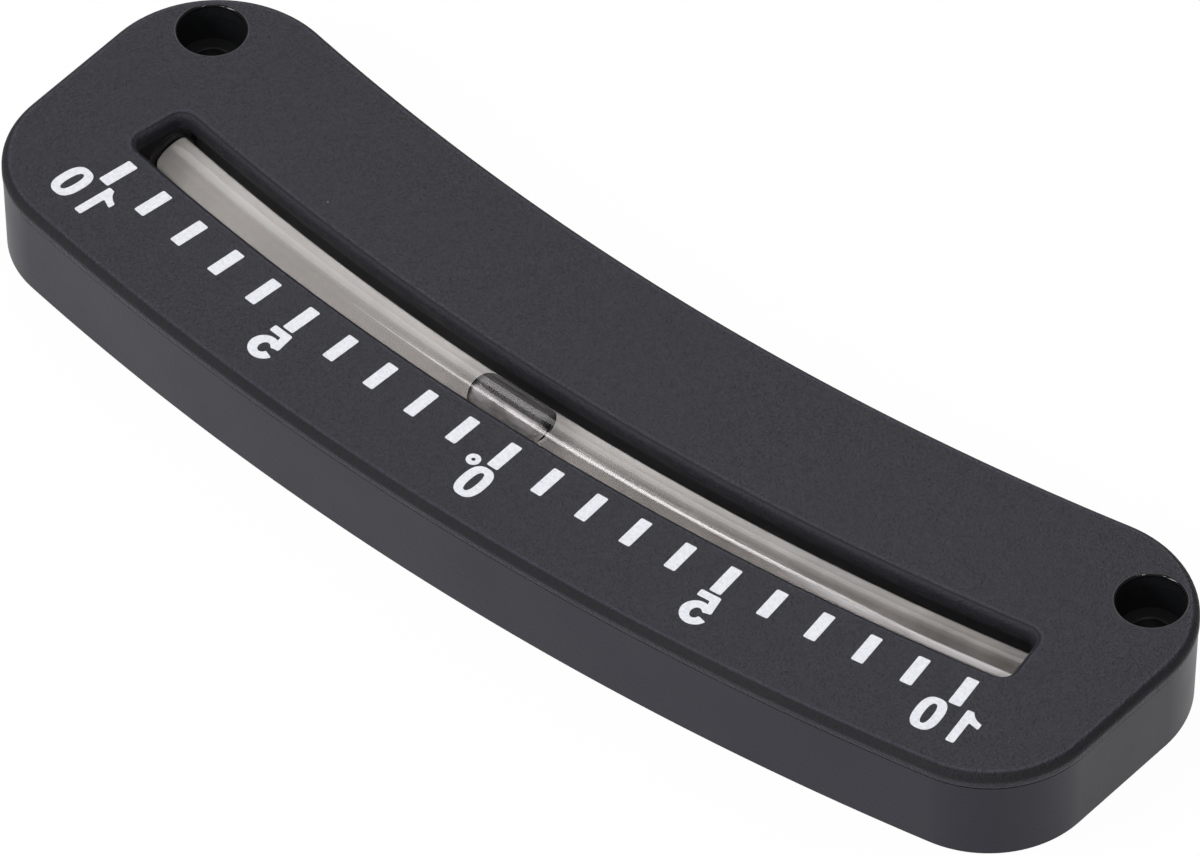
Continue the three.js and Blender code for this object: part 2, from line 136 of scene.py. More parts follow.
# %% A shape turned about a line
def turned(name, profile, sides, place, closed=False):
    """Turns (radius, along) points round a line. `place` puts a radius, an along and a turn in space."""
    points, rows = [], []
    for radius, along in profile:
        ring = 1 if radius == 0 else sides
        rows.append([len(points) + i for i in range(ring)])
        points += [place(radius, along, 2 * math.pi * i / sides) for i in range(ring)]
    pairs = list(zip(rows, rows[1:] + (rows[:1] if closed else [])))
    faces = []
    for here, there in pairs:
        for i in range(sides):
            j = (i + 1) % sides
            corners = [here[i % len(here)], here[j % len(here)], there[j % len(there)], there[i % len(there)]]
            faces.append(tuple(dict.fromkeys(corners)))
    return solid(name, points, faces)


def upright(x, y):
    return lambda radius, along, turn: (x + radius * math.cos(turn), y + radius * math.sin(turn), along)


def post(name, radius, low, high, sides, x, y):
    return turned(name, [(0, low), (radius, low), (radius, high), (0, high)], sides, upright(x, y))


# %% Joining, cutting and the move to metres
def evaluated_mesh(piece):
    depsgraph = bpy.context.evaluated_depsgraph_get()
    return bpy.data.meshes.new_from_object(piece.evaluated_get(depsgraph))


def carve(body, tools, operation="DIFFERENCE"):
    for tool in tools:
        step = body.modifiers.new("carve", "BOOLEAN")
        step.operation, step.solver, step.object = operation, "MANIFOLD", tool
        mesh = evaluated_mesh(body)
        body.modifiers.clear()
        body.data = mesh
        bpy.data.objects.remove(tool)
    return body


def to_frame(piece, sharp=35):
    """Scales a mesh to metres and shades it smooth, with edges where it turns by more than an angle."""
    piece.data.transform(Matrix.Scale(MM, 4))
    piece.data.shade_smooth()
    piece.data.set_sharp_from_angle(angle=math.radians(sharp))
    step = piece.modifiers.new("even", "WEIGHTED_NORMAL")
    step.keep_sharp = True
    mesh = evaluated_mesh(piece)
    piece.modifiers.clear()
    piece.data = mesh
    print(f"{piece.name}: {len(mesh.polygons)} faces")
    return piece


# %% [markdown]
# ## The outline of the case
#
# The case is a slice of a ring: two long arcs about the scale's centre, joined by rounded ends. One function
# gives the outline drawn in by any inset, so the rounded rim, the tapered walls, the hollow and the back
# cover all follow the same line, as they do in the mould.

# %% Case sizes and outline
CASE_LENGTH = 156.6
CONCAVE_MARGIN, CONVEX_MARGIN = 22.5, 21.5
CONCAVE_RADIUS, CONVEX_RADIUS = TUBE_LINE_RADIUS - CONCAVE_MARGIN, TUBE_LINE_RADIUS + CONVEX_MARGIN
CONCAVE_CORNER, CONVEX_CORNER = 14.9, 13.7
LONG_STEPS, CORNER_STEPS, ROUND_STEPS, HOLE_SIDES = 96, 26, 8, 72


def mirrored_ring(right, inner, inner_angle, outer, outer_angle):
    """A closed ring from its right end and the radii of the two arcs that join it to its mirror image."""
    middle = Vector((0, 0))
    left = [Vector((-p.x, p.y)) for p in reversed(right)]
    top = arc_points(middle, inner, inner_angle, -inner_angle, LONG_STEPS)[1:-1]
    bottom = arc_points(middle, outer, -outer_angle, outer_angle, LONG_STEPS)[1:-1]
    return right + top + left + bottom


def case_outline(inset):
    low_x, high_x = CASE_LENGTH / 2 - CONVEX_CORNER, CASE_LENGTH / 2 - CONCAVE_CORNER
    low_y = -math.sqrt((CONVEX_RADIUS - CONVEX_CORNER) ** 2 - low_x**2)
    high_y = -math.sqrt((CONCAVE_RADIUS + CONCAVE_CORNER) ** 2 - high_x**2)
    low_angle = math.degrees(math.atan2(low_x, -low_y))
    high_angle = math.degrees(math.atan2(high_x, -high_y))
    low, high = Vector((low_x, low_y)), Vector((high_x, high_y))
    right = arc_points(low, CONVEX_CORNER - inset, low_angle, 90, CORNER_STEPS)
    right += arc_points(high, CONCAVE_CORNER - inset, 90, 180 + high_angle, CORNER_STEPS)
    return mirrored_ring(right, CONCAVE_RADIUS + inset, high_angle, CONVEX_RADIUS - inset, low_angle)


def rounded(outline, radius, top):
    """Levels of a rim that turns from upright to level, for an outline that takes its inset or margin."""
    turns = [math.pi / 2 * i / ROUND_STEPS for i in range(ROUND_STEPS + 1)]
    return [(outline(radius * (1 - math.cos(t))), top - radius * (1 - math.sin(t))) for t in turns]


# %% [markdown]
# ## The front case
#
# This is an injection moulding in black plastic, and its details are those of a mould. The walls lean in a
# little towards the back, so that the piece leaves the mould. Just under the rounded rim a fine step and a
# groove run round the wall, where the two halves of the mould met. The groove is square, because a sloped one
# would catch as much light as the wall. Behind the face the case is hollow, with walls along the tube, ribs,
# and bosses for the screws.
#
# A boolean of plain solids gives all of that in the order that a toolmaker thinks in: the outside, less the
# hollow, less the openings. The printed ink has a thickness of its own, so the face lies that much lower
# than the top of the CAD box.

# %% Heights in the case
CASE_HEIGHT, INK_THICKNESS = 13.2, 0.03
FACE = CASE_HEIGHT - INK_THICKNESS
COVER_TOP, STRIP_BOTTOM, TUBE_AXIS, FACE_UNDERSIDE = 2.2, 4.2, 7.7, 10.7
RIM_ROUNDING, PARTING_DEPTH, PARTING_STEP = 1.1, 1.9, 0.1
GROOVE_DEPTH, GROOVE_WIDTH, GROOVE_SLOPE = 0.32, 0.24, 0.03
DRAFT_INSET, FOOT_ROUNDING = 0.3, 0.15
BACK_INSET = PARTING_STEP + DRAFT_INSET
REST_GAP, SIDE_GAP, RUNNING_GAP, OVERRUN = 0.1, 0.2, 0.3, 1
WALL = 2.6


def case_envelope():
    parting = FACE - PARTING_DEPTH
    levels = [
        (case_outline(BACK_INSET + FOOT_ROUNDING), 0),
        (case_outline(BACK_INSET), FOOT_ROUNDING),
        (case_outline(PARTING_STEP), parting - GROOVE_WIDTH),
        (case_outline(GROOVE_DEPTH), parting - GROOVE_WIDTH + GROOVE_SLOPE),
        (case_outline(GROOVE_DEPTH), parting - GROOVE_SLOPE),
        (case_outline(0), parting),
    ]
    return loft("case_shell", levels + rounded(case_outline, RIM_ROUNDING, FACE))


# %% The hollow behind the face
COVER_LEDGE = 1.3


def case_hollow():
    inside = case_outline(BACK_INSET + WALL)
    ledge = case_outline(BACK_INSET + COVER_LEDGE)
    hollow = loft("hollow", [(inside, -OVERRUN), (inside, FACE_UNDERSIDE)])
    return carve(hollow, [loft("ledge", [(ledge, -OVERRUN), (ledge, COVER_TOP + REST_GAP)])], "UNION")


# %% [markdown]
# ## The window slot
#
# The slot is a narrow piece of the same ring, with small rounded corners and a soft rim at the face. Its end
# walls stand along two radii, about half a degree past the last ticks.

# %% Slot sizes and outline
SLOT_INNER_MARGIN, SLOT_OUTER_MARGIN, SLOT_END_MARGIN = 2.3, 5.4, 14.1
SLOT_INNER, SLOT_OUTER = TUBE_LINE_RADIUS - SLOT_INNER_MARGIN, TUBE_LINE_RADIUS + SLOT_OUTER_MARGIN
SLOT_CORNER, SLOT_ROUNDING = 1.6, 1
SLOT_HALF_ANGLE = math.degrees(math.asin((CASE_LENGTH / 2 - SLOT_END_MARGIN) / TUBE_LINE_RADIUS))
SLOT_HALF_LENGTH = TUBE_LINE_RADIUS * math.radians(SLOT_HALF_ANGLE)


def slot_outline(margin):
    outer_row, inner_row = SLOT_OUTER - SLOT_CORNER, SLOT_INNER + SLOT_CORNER
    outer_angle = SLOT_HALF_ANGLE - math.degrees(math.asin(SLOT_CORNER / outer_row))
    inner_angle = SLOT_HALF_ANGLE - math.degrees(math.asin(SLOT_CORNER / inner_row))
    corner = SLOT_CORNER + margin
    square = SLOT_HALF_ANGLE + 90
    right = arc_points(polar(outer_row, outer_angle), corner, outer_angle, square, CORNER_STEPS // 2)
    right += arc_points(polar(inner_row, inner_angle), corner, square, 180 + inner_angle, CORNER_STEPS // 2)
    return mirrored_ring(right, SLOT_INNER - margin, inner_angle, SLOT_OUTER + margin, outer_angle)


def slot_cut():
    levels = [(slot_outline(0), -OVERRUN)] + rounded(slot_outline, SLOT_ROUNDING, FACE)
    return loft("slot", levels + [(slot_outline(SLOT_ROUNDING), FACE + OVERRUN)])


print(f"slot half angle {SLOT_HALF_ANGLE:.2f} degrees")

# %% [markdown]
# ## Inside the case
#
# Behind the slot two thin walls form a channel, and at each end a block holds the rubber cushion of the
# tube. Ribs run from the channel to the outer walls, and eight bosses carry the screws. A curved plate
# between two radii makes the walls and blocks, so it gets a maker of its own.

# %% Walls, blocks and the room for the tube
TUBE_RADIUS = 2.7
CUSHION_WALL, CUSHION_LENGTH = 0.8, 3.7
CHANNEL_WALL, POCKET_WALL = 1.8, 1.3
POCKET_SETBACK, CUSHION_SETBACK, TUBE_OVERHANG, FLANGE = 1, 0.9, 0.6, 0.8
POCKET_START = SLOT_HALF_LENGTH + POCKET_SETBACK
CUSHION_START = POCKET_START + CUSHION_SETBACK
CUSHION_END = CUSHION_START + CUSHION_LENGTH
TUBE_END = CUSHION_END + TUBE_OVERHANG
POCKET_END = TUBE_END + REST_GAP + FLANGE + RUNNING_GAP
CUSHION_RADIUS = TUBE_RADIUS + REST_GAP + CUSHION_WALL
CHANNEL_INNER = TUBE_LINE_RADIUS - TUBE_RADIUS - RUNNING_GAP


def sector(name, inner, outer, start, end, low, high):
    """A plate between two radii and two places along the tube's line."""
    steps, middle = max(2, math.ceil((end - start) / 2)), Vector((0, 0))
    ring = arc_points(middle, outer, arc_angle(start), arc_angle(end), steps)
    ring += arc_points(middle, inner, arc_angle(end), arc_angle(start), steps)
    return loft(name, [(ring, low), (ring, high)])


def mirrored_sectors(name, inner, outer, near, far, low, high):
    """The same plate at the right end and at the left end."""
    return [sector(name, inner, outer, *ends, low, high) for ends in ((near, far), (-far, -near))]


def channel_walls():
    low, high = COVER_TOP + REST_GAP, FACE_UNDERSIDE + OVERRUN
    inner, outer = CHANNEL_INNER - CHANNEL_WALL, SLOT_OUTER + CHANNEL_WALL
    block = (inner - SIDE_GAP, outer + SIDE_GAP)
    near, far = SLOT_HALF_LENGTH - POCKET_WALL, POCKET_END + POCKET_WALL
    return [
        sector("wall", inner, CHANNEL_INNER, -SLOT_HALF_LENGTH, SLOT_HALF_LENGTH, low, high),
        sector("wall", SLOT_OUTER - SIDE_GAP, outer, -SLOT_HALF_LENGTH, SLOT_HALF_LENGTH, low, high),
        *mirrored_sectors("block", *block, near, far, low, high),
    ]


# %% Ribs and bosses
MOUNTING_END_MARGIN, MOUNTING_EDGE_MARGIN = 8.3, 9.6
MOUNTING_X = CASE_LENGTH / 2 - MOUNTING_END_MARGIN
MOUNTING_Y = -math.sqrt((CONCAVE_RADIUS + MOUNTING_EDGE_MARGIN) ** 2 - MOUNTING_X**2)
MOUNTING_BOSS, SCREW_BOSS = 5.8, 3
RIB_THICKNESS, RIB_HEIGHT = 1.2, 4.4
RIB_SHARES = (-0.8, -0.5, -0.2, 0.2, 0.5, 0.8)
INNER_SCREW_SHARES, OUTER_SCREW_SHARES = (-0.8, 0, 0.8), (-0.95, 0, 0.95)
INNER_ROW = (CONCAVE_RADIUS + WALL + CHANNEL_INNER - CHANNEL_WALL) / 2
OUTER_ROW = (SLOT_OUTER + CHANNEL_WALL + CONVEX_RADIUS - WALL) / 2
SCREW_PLACES = [polar(INNER_ROW, share * SLOT_HALF_ANGLE) for share in INNER_SCREW_SHARES]
SCREW_PLACES += [polar(OUTER_ROW, share * SLOT_HALF_ANGLE) for share in OUTER_SCREW_SHARES]


def ribs():
    low, high = FACE_UNDERSIDE - RIB_HEIGHT, FACE_UNDERSIDE + OVERRUN
    half = RIB_THICKNESS / 2
    inner_bay = (CONCAVE_RADIUS + WALL, CHANNEL_INNER - CHANNEL_WALL / 2)
    outer_bay = (SLOT_OUTER + CHANNEL_WALL / 2, CONVEX_RADIUS - WALL)
    made = []
    for share in RIB_SHARES:
        angle = share * SLOT_HALF_ANGLE
        along = Vector((math.cos(math.radians(angle)), math.sin(math.radians(angle))))
        for near, far in (inner_bay, outer_bay):
            a, b = polar(far, angle), polar(near, angle)
            ring = [a - along * half, a + along * half, b + along * half, b - along * half]
            made.append(loft("rib", [(ring, low), (ring, high)]))
    return made


def bosses():
    high = FACE_UNDERSIDE + OVERRUN
    made = [
        post("boss", MOUNTING_BOSS, -OVERRUN, high, HOLE_SIDES, side * MOUNTING_X, MOUNTING_Y)
        for side in (-1, 1)
    ]
    for place in SCREW_PLACES:
        made.append(post("boss", SCREW_BOSS, COVER_TOP + REST_GAP, high, HOLE_SIDES // 2, place.x, place.y))
    return made


# %% [markdown]
# ## Things that follow the tube
#
# The tube, its fluid, the bubble, the cushions and the plugs are all round shapes bent along the scale. One
# placing rule does it: a point is turned about the tube's line, and the length along it becomes an angle.

# %% Placing a point round the tube's line
def along_tube(radius, along, turn):
    centre = polar(TUBE_LINE_RADIUS + radius * math.cos(turn), arc_angle(along))
    return (centre.x, centre.y, TUBE_AXIS + radius * math.sin(turn))


def straight(radius, start, end, steps):
    """Profile points at one radius between two places along the tube."""
    return [(radius, start + (end - start) * i / steps) for i in range(steps + 1)]


def quarter(centre_radius, centre_along, reach_radius, reach_along, start, end, steps):
    """Profile points of a rounded corner, from one angle to another, counted from straight out."""
    made = []
    for i in range(steps + 1):
        turn = math.radians(start + (end - start) * i / steps)
        across, along = reach_radius * math.cos(turn), reach_along * math.sin(turn)
        made.append((centre_radius + across, centre_along + along))
    return made


TUBE_SIDES, TUBE_STEPS = 96, 180


def tube_room():
    pocket = CUSHION_RADIUS + REST_GAP
    inner, outer = TUBE_LINE_RADIUS - pocket, TUBE_LINE_RADIUS + pocket
    reach = (POCKET_START + POCKET_END) / 2
    half = TUBE_RADIUS + REST_GAP
    bar = [(0, -reach), *straight(TUBE_RADIUS + SIDE_GAP, -reach, reach, TUBE_STEPS), (0, reach)]
    way = (TUBE_LINE_RADIUS - half, TUBE_LINE_RADIUS + half, -reach, reach, -OVERRUN, TUBE_AXIS)
    return [
        turned("passage", bar, TUBE_SIDES // 2, along_tube),
        sector("way", *way),
        *mirrored_sectors("pocket", inner, outer, POCKET_START, POCKET_END, -OVERRUN, TUBE_AXIS + pocket),
    ]


# %% [markdown]
# ## Holes
#
# At each end a stepped hole takes the head and the shank of a fastening screw. Its mouth has a small rounded
# edge that catches the light, and the neck between the two steps is rounded too. One profile turned about
# the screw's line cuts both. The six pilot holes behind are plain.

# %% Stepped holes and pilot holes
SHANK_HOLE, HEAD_HOLE, HEAD_DEPTH = 2.25, 3.97, 5.4
MOUTH_WIDTH, MOUTH_HEIGHT, NECK_ROUNDING = 0.36, 0.42, 0.35
COVER_SCREW_LENGTH, COVER_SCREW_RADIUS, COVER_SCREW_SUNK = 7.5, 1.2, 0.15


def mounting_hole(side):
    seat = CASE_HEIGHT - HEAD_DEPTH
    wide, soft = HEAD_HOLE + MOUTH_WIDTH, NECK_ROUNDING
    mouth = quarter(wide, FACE - MOUTH_HEIGHT, -MOUTH_WIDTH, MOUTH_HEIGHT, 0, 90, 8)
    neck = quarter(SHANK_HOLE + soft, seat - soft, -soft, soft, 0, 90, 6)
    profile = [(0, -OVERRUN), (SHANK_HOLE, -OVERRUN), *neck, (HEAD_HOLE, seat), *mouth]
    profile += [(wide, FACE + OVERRUN), (0, FACE + OVERRUN)]
    return turned("hole", profile, HOLE_SIDES, upright(side * MOUNTING_X, MOUNTING_Y))


def pilot_hole(place):
    top = COVER_SCREW_SUNK + COVER_SCREW_LENGTH + RUNNING_GAP
    return post("pilot", COVER_SCREW_RADIUS + REST_GAP, 0, top, HOLE_SIDES // 3, place.x, place.y)


# %% Building the front case
hollow = carve(case_hollow(), channel_walls() + ribs() + bosses())
case_shell = carve(case_envelope(), [hollow, slot_cut(), *tube_room()])
carve(case_shell, [mounting_hole(-1), mounting_hole(1)] + [pilot_hole(place) for place in SCREW_PLACES])
to_frame(case_shell)

# %% [markdown]
# ## The back cover
#
# A flat moulded plate closes the back. It sits on the ledge inside the walls, is notched round the two big
# bosses, and carries a pad that holds the pale strip up behind the tube. Its edge has a small bevel, so that
# the joint with the case shows as a fine groove.

# %% Building the back cover
COVER_INSET = BACK_INSET + COVER_LEDGE + SIDE_GAP
COVER_BEVEL, STRIP_SETBACK = 0.25, 2.1
PAD_END = SLOT_HALF_LENGTH - STRIP_SETBACK
HEAD_RADIUS, HEAD_HEIGHT = 2.3, 1.3


def countersink(place):
    mouth, neck = HEAD_RADIUS + SIDE_GAP, COVER_SCREW_RADIUS + SIDE_GAP
    profile = [(0, -OVERRUN), (mouth, -OVERRUN), (mouth, COVER_SCREW_SUNK)]
    profile += [(neck, COVER_SCREW_SUNK + HEAD_HEIGHT), (neck, COVER_TOP + OVERRUN), (0, COVER_TOP + OVERRUN)]
    return turned("countersink", profile, HOLE_SIDES // 2, upright(place.x, place.y))


def cover_pads():
    low, top = COVER_TOP - REST_GAP, TUBE_AXIS - CUSHION_RADIUS - REST_GAP
    inner, outer = CHANNEL_INNER + SIDE_GAP, SLOT_OUTER - SIDE_GAP
    half = CUSHION_RADIUS - CUSHION_WALL
    rest = (TUBE_LINE_RADIUS - half, TUBE_LINE_RADIUS + half)
    return [
        sector("pad", inner, outer, -PAD_END, PAD_END, low, STRIP_BOTTOM - REST_GAP),
        *mirrored_sectors("rest", *rest, CUSHION_START, CUSHION_END, low, top),
    ]


edge, inner_edge = case_outline(COVER_INSET), case_outline(COVER_INSET + COVER_BEVEL)
cover_plate = loft("cover_plate", [(inner_edge, 0), (edge, COVER_BEVEL), (edge, COVER_TOP)])
carve(cover_plate, cover_pads(), "UNION")
notch = (MOUNTING_BOSS + SIDE_GAP, -OVERRUN, COVER_TOP + OVERRUN, HOLE_SIDES)
carve(cover_plate, [post("notch", *notch, side * MOUNTING_X, MOUNTING_Y) for side in (-1, 1)])
carve(cover_plate, [countersink(place) for place in SCREW_PLACES])
to_frame(cover_plate)

# %% [markdown]
# ## Nodes as short expressions
#
# Finishes and repeats are both node trees. One function adds any node: it takes the type, then the settings,
# then the values or links of the sockets. For shader maths a small class wraps a socket, so that `1 - mask`
# or `grain * 0.2` can be written as it reads, and each operator adds its Math node.

# %% Adding nodes
def add_node(tree, kind, settings=None, inputs=None):
    node = tree.nodes.new(kind)
    for label, value in (settings or {}).items():
        setattr(node, label, value)
    for label, value in (inputs or {}).items():
        value = value.socket if isinstance(value, Signal) else value
        if isinstance(value, bpy.types.NodeSocket):
            tree.links.new(value, node.inputs[label])
        else:
            node.inputs[label].default_value = value
    return node


class Signal:
    """A number that changes over a surface, held by the socket that gives it."""

    def __init__(self, socket):
        self.socket = socket

    def maths(self, operation, *terms, clamp=False):
        """Adds a Math node with this signal as its first value."""
        settings = {"operation": operation, "use_clamp": clamp}
        node = add_node(self.socket.node.id_data, "ShaderNodeMath", settings, dict(enumerate((self, *terms))))
        return Signal(node.outputs[0])

    def __add__(self, other):
        return self.maths("ADD", other)

    def __sub__(self, other):
        return self.maths("SUBTRACT", other)

    def __rsub__(self, other):
        return self.maths("MULTIPLY_ADD", -1, other)

    def __mul__(self, other):
        return self.maths("MULTIPLY", other)

    __radd__, __rmul__ = __add__, __mul__

    def ramp(self, start, end):
        """Rises from 0 at start to 1 at end, and stays level outside them."""
        return (self - start).maths("MULTIPLY", 1 / (end - start), clamp=True)


# %% A finish, and the patterns that it may use
class Finish:
    """A material with one Principled shader. Fixed values go straight onto the shader's own sockets."""

    def __init__(self, name, **constants):
        self.material = bpy.data.materials.new(name)
        self.material.use_nodes = True
        self.tree = self.material.node_tree
        self.shader = self.tree.nodes["Principled BSDF"]
        self.seen = self.shader.outputs[0]
        self.surface = self.tree.nodes["Material Output"].inputs["Surface"]
        for label, value in constants.items():
            self.shader.inputs[label.replace("_", " ")].default_value = value
        self.place = self.add("ShaderNodeTexCoord").outputs["Object"]

    def add(self, kind, settings=None, inputs=None):
        return add_node(self.tree, kind, settings, inputs)

    def along(self, axis):
        """How far along an axis a point lies, in millimetres."""
        return Signal(self.add("ShaderNodeSeparateXYZ", inputs={0: self.place}).outputs[axis]) * (1 / MM)

    def round_the_tube(self):
        """How far out from the tube's line a point lies, how far to the right, and whether it is above it."""
        flat = self.add("ShaderNodeVectorMath", {"operation": "MULTIPLY"}, {0: self.place, 1: (1, 1, 0)})
        centre = {0: flat.outputs[0], 1: (0, CENTRE_Y * MM, 0)}
        reach = Signal(self.add("ShaderNodeVectorMath", {"operation": "DISTANCE"}, centre).outputs["Value"])
        upper = self.along("Z").maths("GREATER_THAN", TUBE_AXIS)
        return (reach - TUBE_LINE_RADIUS * MM) * (1 / MM), self.along("X"), upper

    def noise(self, size, detail=2.0, stretch=(1, 1, 1), roughness=0.5):
        """Cloudy noise with patches of about a size in metres, drawn out along an axis by a small stretch."""
        spread = self.add("ShaderNodeMapping", inputs={"Vector": self.place, "Scale": stretch})
        sockets = {"Vector": spread.outputs[0], "Scale": 1 / size, "Detail": detail, "Roughness": roughness}
        return Signal(self.add("ShaderNodeTexNoise", inputs=sockets).outputs["Fac"])

    def specks(self, spacing, radius, kept):
        """Small round specks, about one to each spacing, of which a share is kept."""
        cells = self.add("ShaderNodeTexVoronoi", inputs={"Vector": self.place, "Scale": 1 / spacing})
        draw = self.add("ShaderNodeTexWhiteNoise", inputs={"Vector": cells.outputs["Color"]})
        near = 1 - Signal(cells.outputs["Distance"]).ramp(radius / spacing * 0.6, radius / spacing)
        return near * (Signal(draw.outputs["Value"]).maths("LESS_THAN", kept))

    def blend(self, mask, first, second):
        """Goes from the first colour to the second as the mask goes from 0 to 1."""
        inputs = {0: mask}
        for index, colour in ((6, first), (7, second)):
            inputs[index] = colour if isinstance(colour, bpy.types.NodeSocket) else (*colour, 1)
        return self.add("ShaderNodeMix", {"data_type": "RGBA"}, inputs).outputs[2]

    def drive(self, label, value):
        value = value.socket if isinstance(value, Signal) else value
        self.tree.links.new(value, self.shader.inputs[label])
        return self

    def colour(self, mask, first, second):
        return self.drive("Base Color", self.blend(mask, first, second))

    def bump(self, height, depth, strength=1.0):
        """Raises the surface by up to a depth in metres where the height is 1."""
        node = self.add("ShaderNodeBump", inputs={"Height": height, "Distance": depth, "Strength": strength})
        return self.drive("Normal", node.outputs["Normal"])

    def cover(self, mask, shader):
        """Lays another shader over the finish where the mask is 1."""
        self.seen = self.add("ShaderNodeMixShader", inputs={0: mask, 1: self.seen, 2: shader}).outputs[0]
        self.tree.links.new(self.seen, self.surface)
        return self

    def let_lamps_through(self, tint):
        """Clear pieces pass shadow rays, so that the lamps reach what lies behind them."""
        clear = self.add("ShaderNodeBsdfTransparent", inputs={"Color": (*tint, 1)})
        return self.cover(self.add("ShaderNodeLightPath").outputs["Is Shadow Ray"], clear.outputs[0])


# %% [markdown]
# ## Black plastic
#
# The case has the dull, slightly silky black of a moulding from a spark-eroded mould. Its grain, with
# patches of about 0.4 mm, is strong in front of the parting line and faint behind it. It is a bump, and
# shows most at the rounded rims, where the light grazes. Larger patches are a little smoother where hands
# have rubbed the case, and a few specks of dust lie on it. Along the line where the face starts to turn into
# the rim, a grainy pale line is painted on as a highlight. The turn itself is more matt and is painted
# darker, as shade, and the walls behind the parting line are painted darker and bluer, as shade.
#
# Little light gets out of the slot and the screw holes again, so their walls are painted with darker plastics
# as shade: the slot's walls get a painted shade that deepens with depth, from a lighter tone near the rim.
# Only the rounded mouths of the holes are smooth enough to mirror a lamp. Masks on the height above the back
# place these tones, so they stay with the shape.

# %% Heights at which the plastic changes, in millimetres, its extra tones, some of them painted shade and highlight, and its dust in metres
GRAIN_STARTS, SLOT_SHADE_ENDS, WALL_SHADE_ENDS = (11, 11.5), (10.2, 12.8), (11, 12)
RIM_STARTS, RIM_ENDS = (11.8, 12.2), (13.06, 13.12)
RIM_HIGHLIGHT_STARTS, RIM_HIGHLIGHT_ENDS = (13.1, 13.14), (13.166, 13.169)
WALL_SHADE_TONE, DUST_TONE = (0.0038, 0.0026, 0.0128), (0.25, 0.25, 0.26)
DUST_SPACING, SPECK_RADIUS = 0.0042, 0.00011
PATCHES_SHARE, RIM_SHADE_SHARE, RIM_HIGHLIGHT_SHARE, RIM_ROUGHER = 1.5, 0.5, 2.8, 0.28


def times(tone, share):
    return [channel * share for channel in tone]


# %% The plastics of the case and the cover
def black_plastic(name, tone, roughness, dust_and_highlight_film, grain_depth, shine=0.38, deep_shade=None, rim=False):
    """Black plastic, and if asked a painted shade that deepens in the slot, or painted shade on the walls and
    the rim and a painted highlight on the rim.
    """
    finish = Finish(name, IOR=1.5, Specular_IOR_Level=shine)
    smoothest, roughest = roughness
    height = finish.along("Z")
    patches = finish.noise(0.018, 3.0).ramp(0.3, 0.7)
    grain = finish.noise(0.0004, 2.0, roughness=0.6) * (height.ramp(*GRAIN_STARTS) * 0.9 + 0.1)
    base = finish.blend((patches + grain.ramp(0.3, 0.8)) * 0.5, tone, times(tone, PATCHES_SHARE))
    rough = patches * (roughest - smoothest) + smoothest
    # Painted shade: with a deep tone, the slot's walls are painted darker the deeper they lie.
    if deep_shade:
        base = finish.blend(height.ramp(*SLOT_SHADE_ENDS), deep_shade, base)
    if rim:
        turning = (1 - height.ramp(*RIM_ENDS)) * height.ramp(*RIM_STARTS)
        # Painted highlight: a grainy pale line where the face starts to turn into the rim.
        rim_highlight = height.ramp(*RIM_HIGHLIGHT_STARTS) * (1 - height.ramp(*RIM_HIGHLIGHT_ENDS)) * grain.ramp(0.2, 0.7)
        # Painted shade: the walls behind the parting line are painted darker and bluer.
        base = finish.blend(height.ramp(*WALL_SHADE_ENDS), WALL_SHADE_TONE, base)
        # Painted shade: the turn of the rim is painted darker.
        base = finish.blend(turning, base, times(tone, RIM_SHADE_SHARE))
        base = finish.blend(rim_highlight, base, times(tone, RIM_HIGHLIGHT_SHARE))
        rough = rough + turning * RIM_ROUGHER
    if dust_and_highlight_film:
        base = finish.blend(finish.specks(DUST_SPACING, SPECK_RADIUS, dust_and_highlight_film), base, DUST_TONE)
    return finish.drive("Base Color", base).drive("Roughness", rough).bump(grain, grain_depth)


case_plastic = black_plastic("case plastic", (0.0098, 0.0096, 0.0158), (0.38, 0.46), 0.05, 0.00023, rim=True)
# The slot's and the holes' plastics carry painted shade: darker than the case, and in the slot darkening with
# depth from a lighter tone near the rim.
shaded_slot_plastic = black_plastic(
    "shaded slot plastic", (0.021, 0.0205, 0.026), (0.5, 0.6), 0, 0.0002, shine=0.15, deep_shade=(0.003, 0.003, 0.0034)
)
shaded_hole_plastic = black_plastic("shaded hole plastic", (0.006, 0.0063, 0.0072), (0.5, 0.6), 0, 0.0001, shine=0.2)
cover_plastic = black_plastic("cover plastic", (0.0105, 0.0098, 0.0155), (0.46, 0.55), 0.02, 0.00001)
polished_plastic = black_plastic("polished plastic", (0.004, 0.004, 0.0055), (0.1, 0.15), 0, 0.000001)

# %% [markdown]
# ## Glass, fluid and air
#
# Light bends where one clear substance ends and the next begins, and what counts is the ratio of their
# indices. The outside of the glass meets air, so it gets the index of glass. Its bore meets the fluid, so
# the bore gets glass over fluid, which is close to 1. The bubble is air inside the fluid, so its skin gets
# air over fluid, below 1. Then each surface bends light as the real one does. The fluid's own surface lies
# just inside the bore, which has bent the light already, so it only tints, a little unevenly.
#
# The glass's colour is painted darker on the side of the numbers, more so to the right, as shade. A pale
# film low on that side near the right end is a painted highlight, and the bubble's skin carries a faint,
# streaked film of painted light. The films are diffuse shaders laid over the clear one, through masks that
# follow the tube.

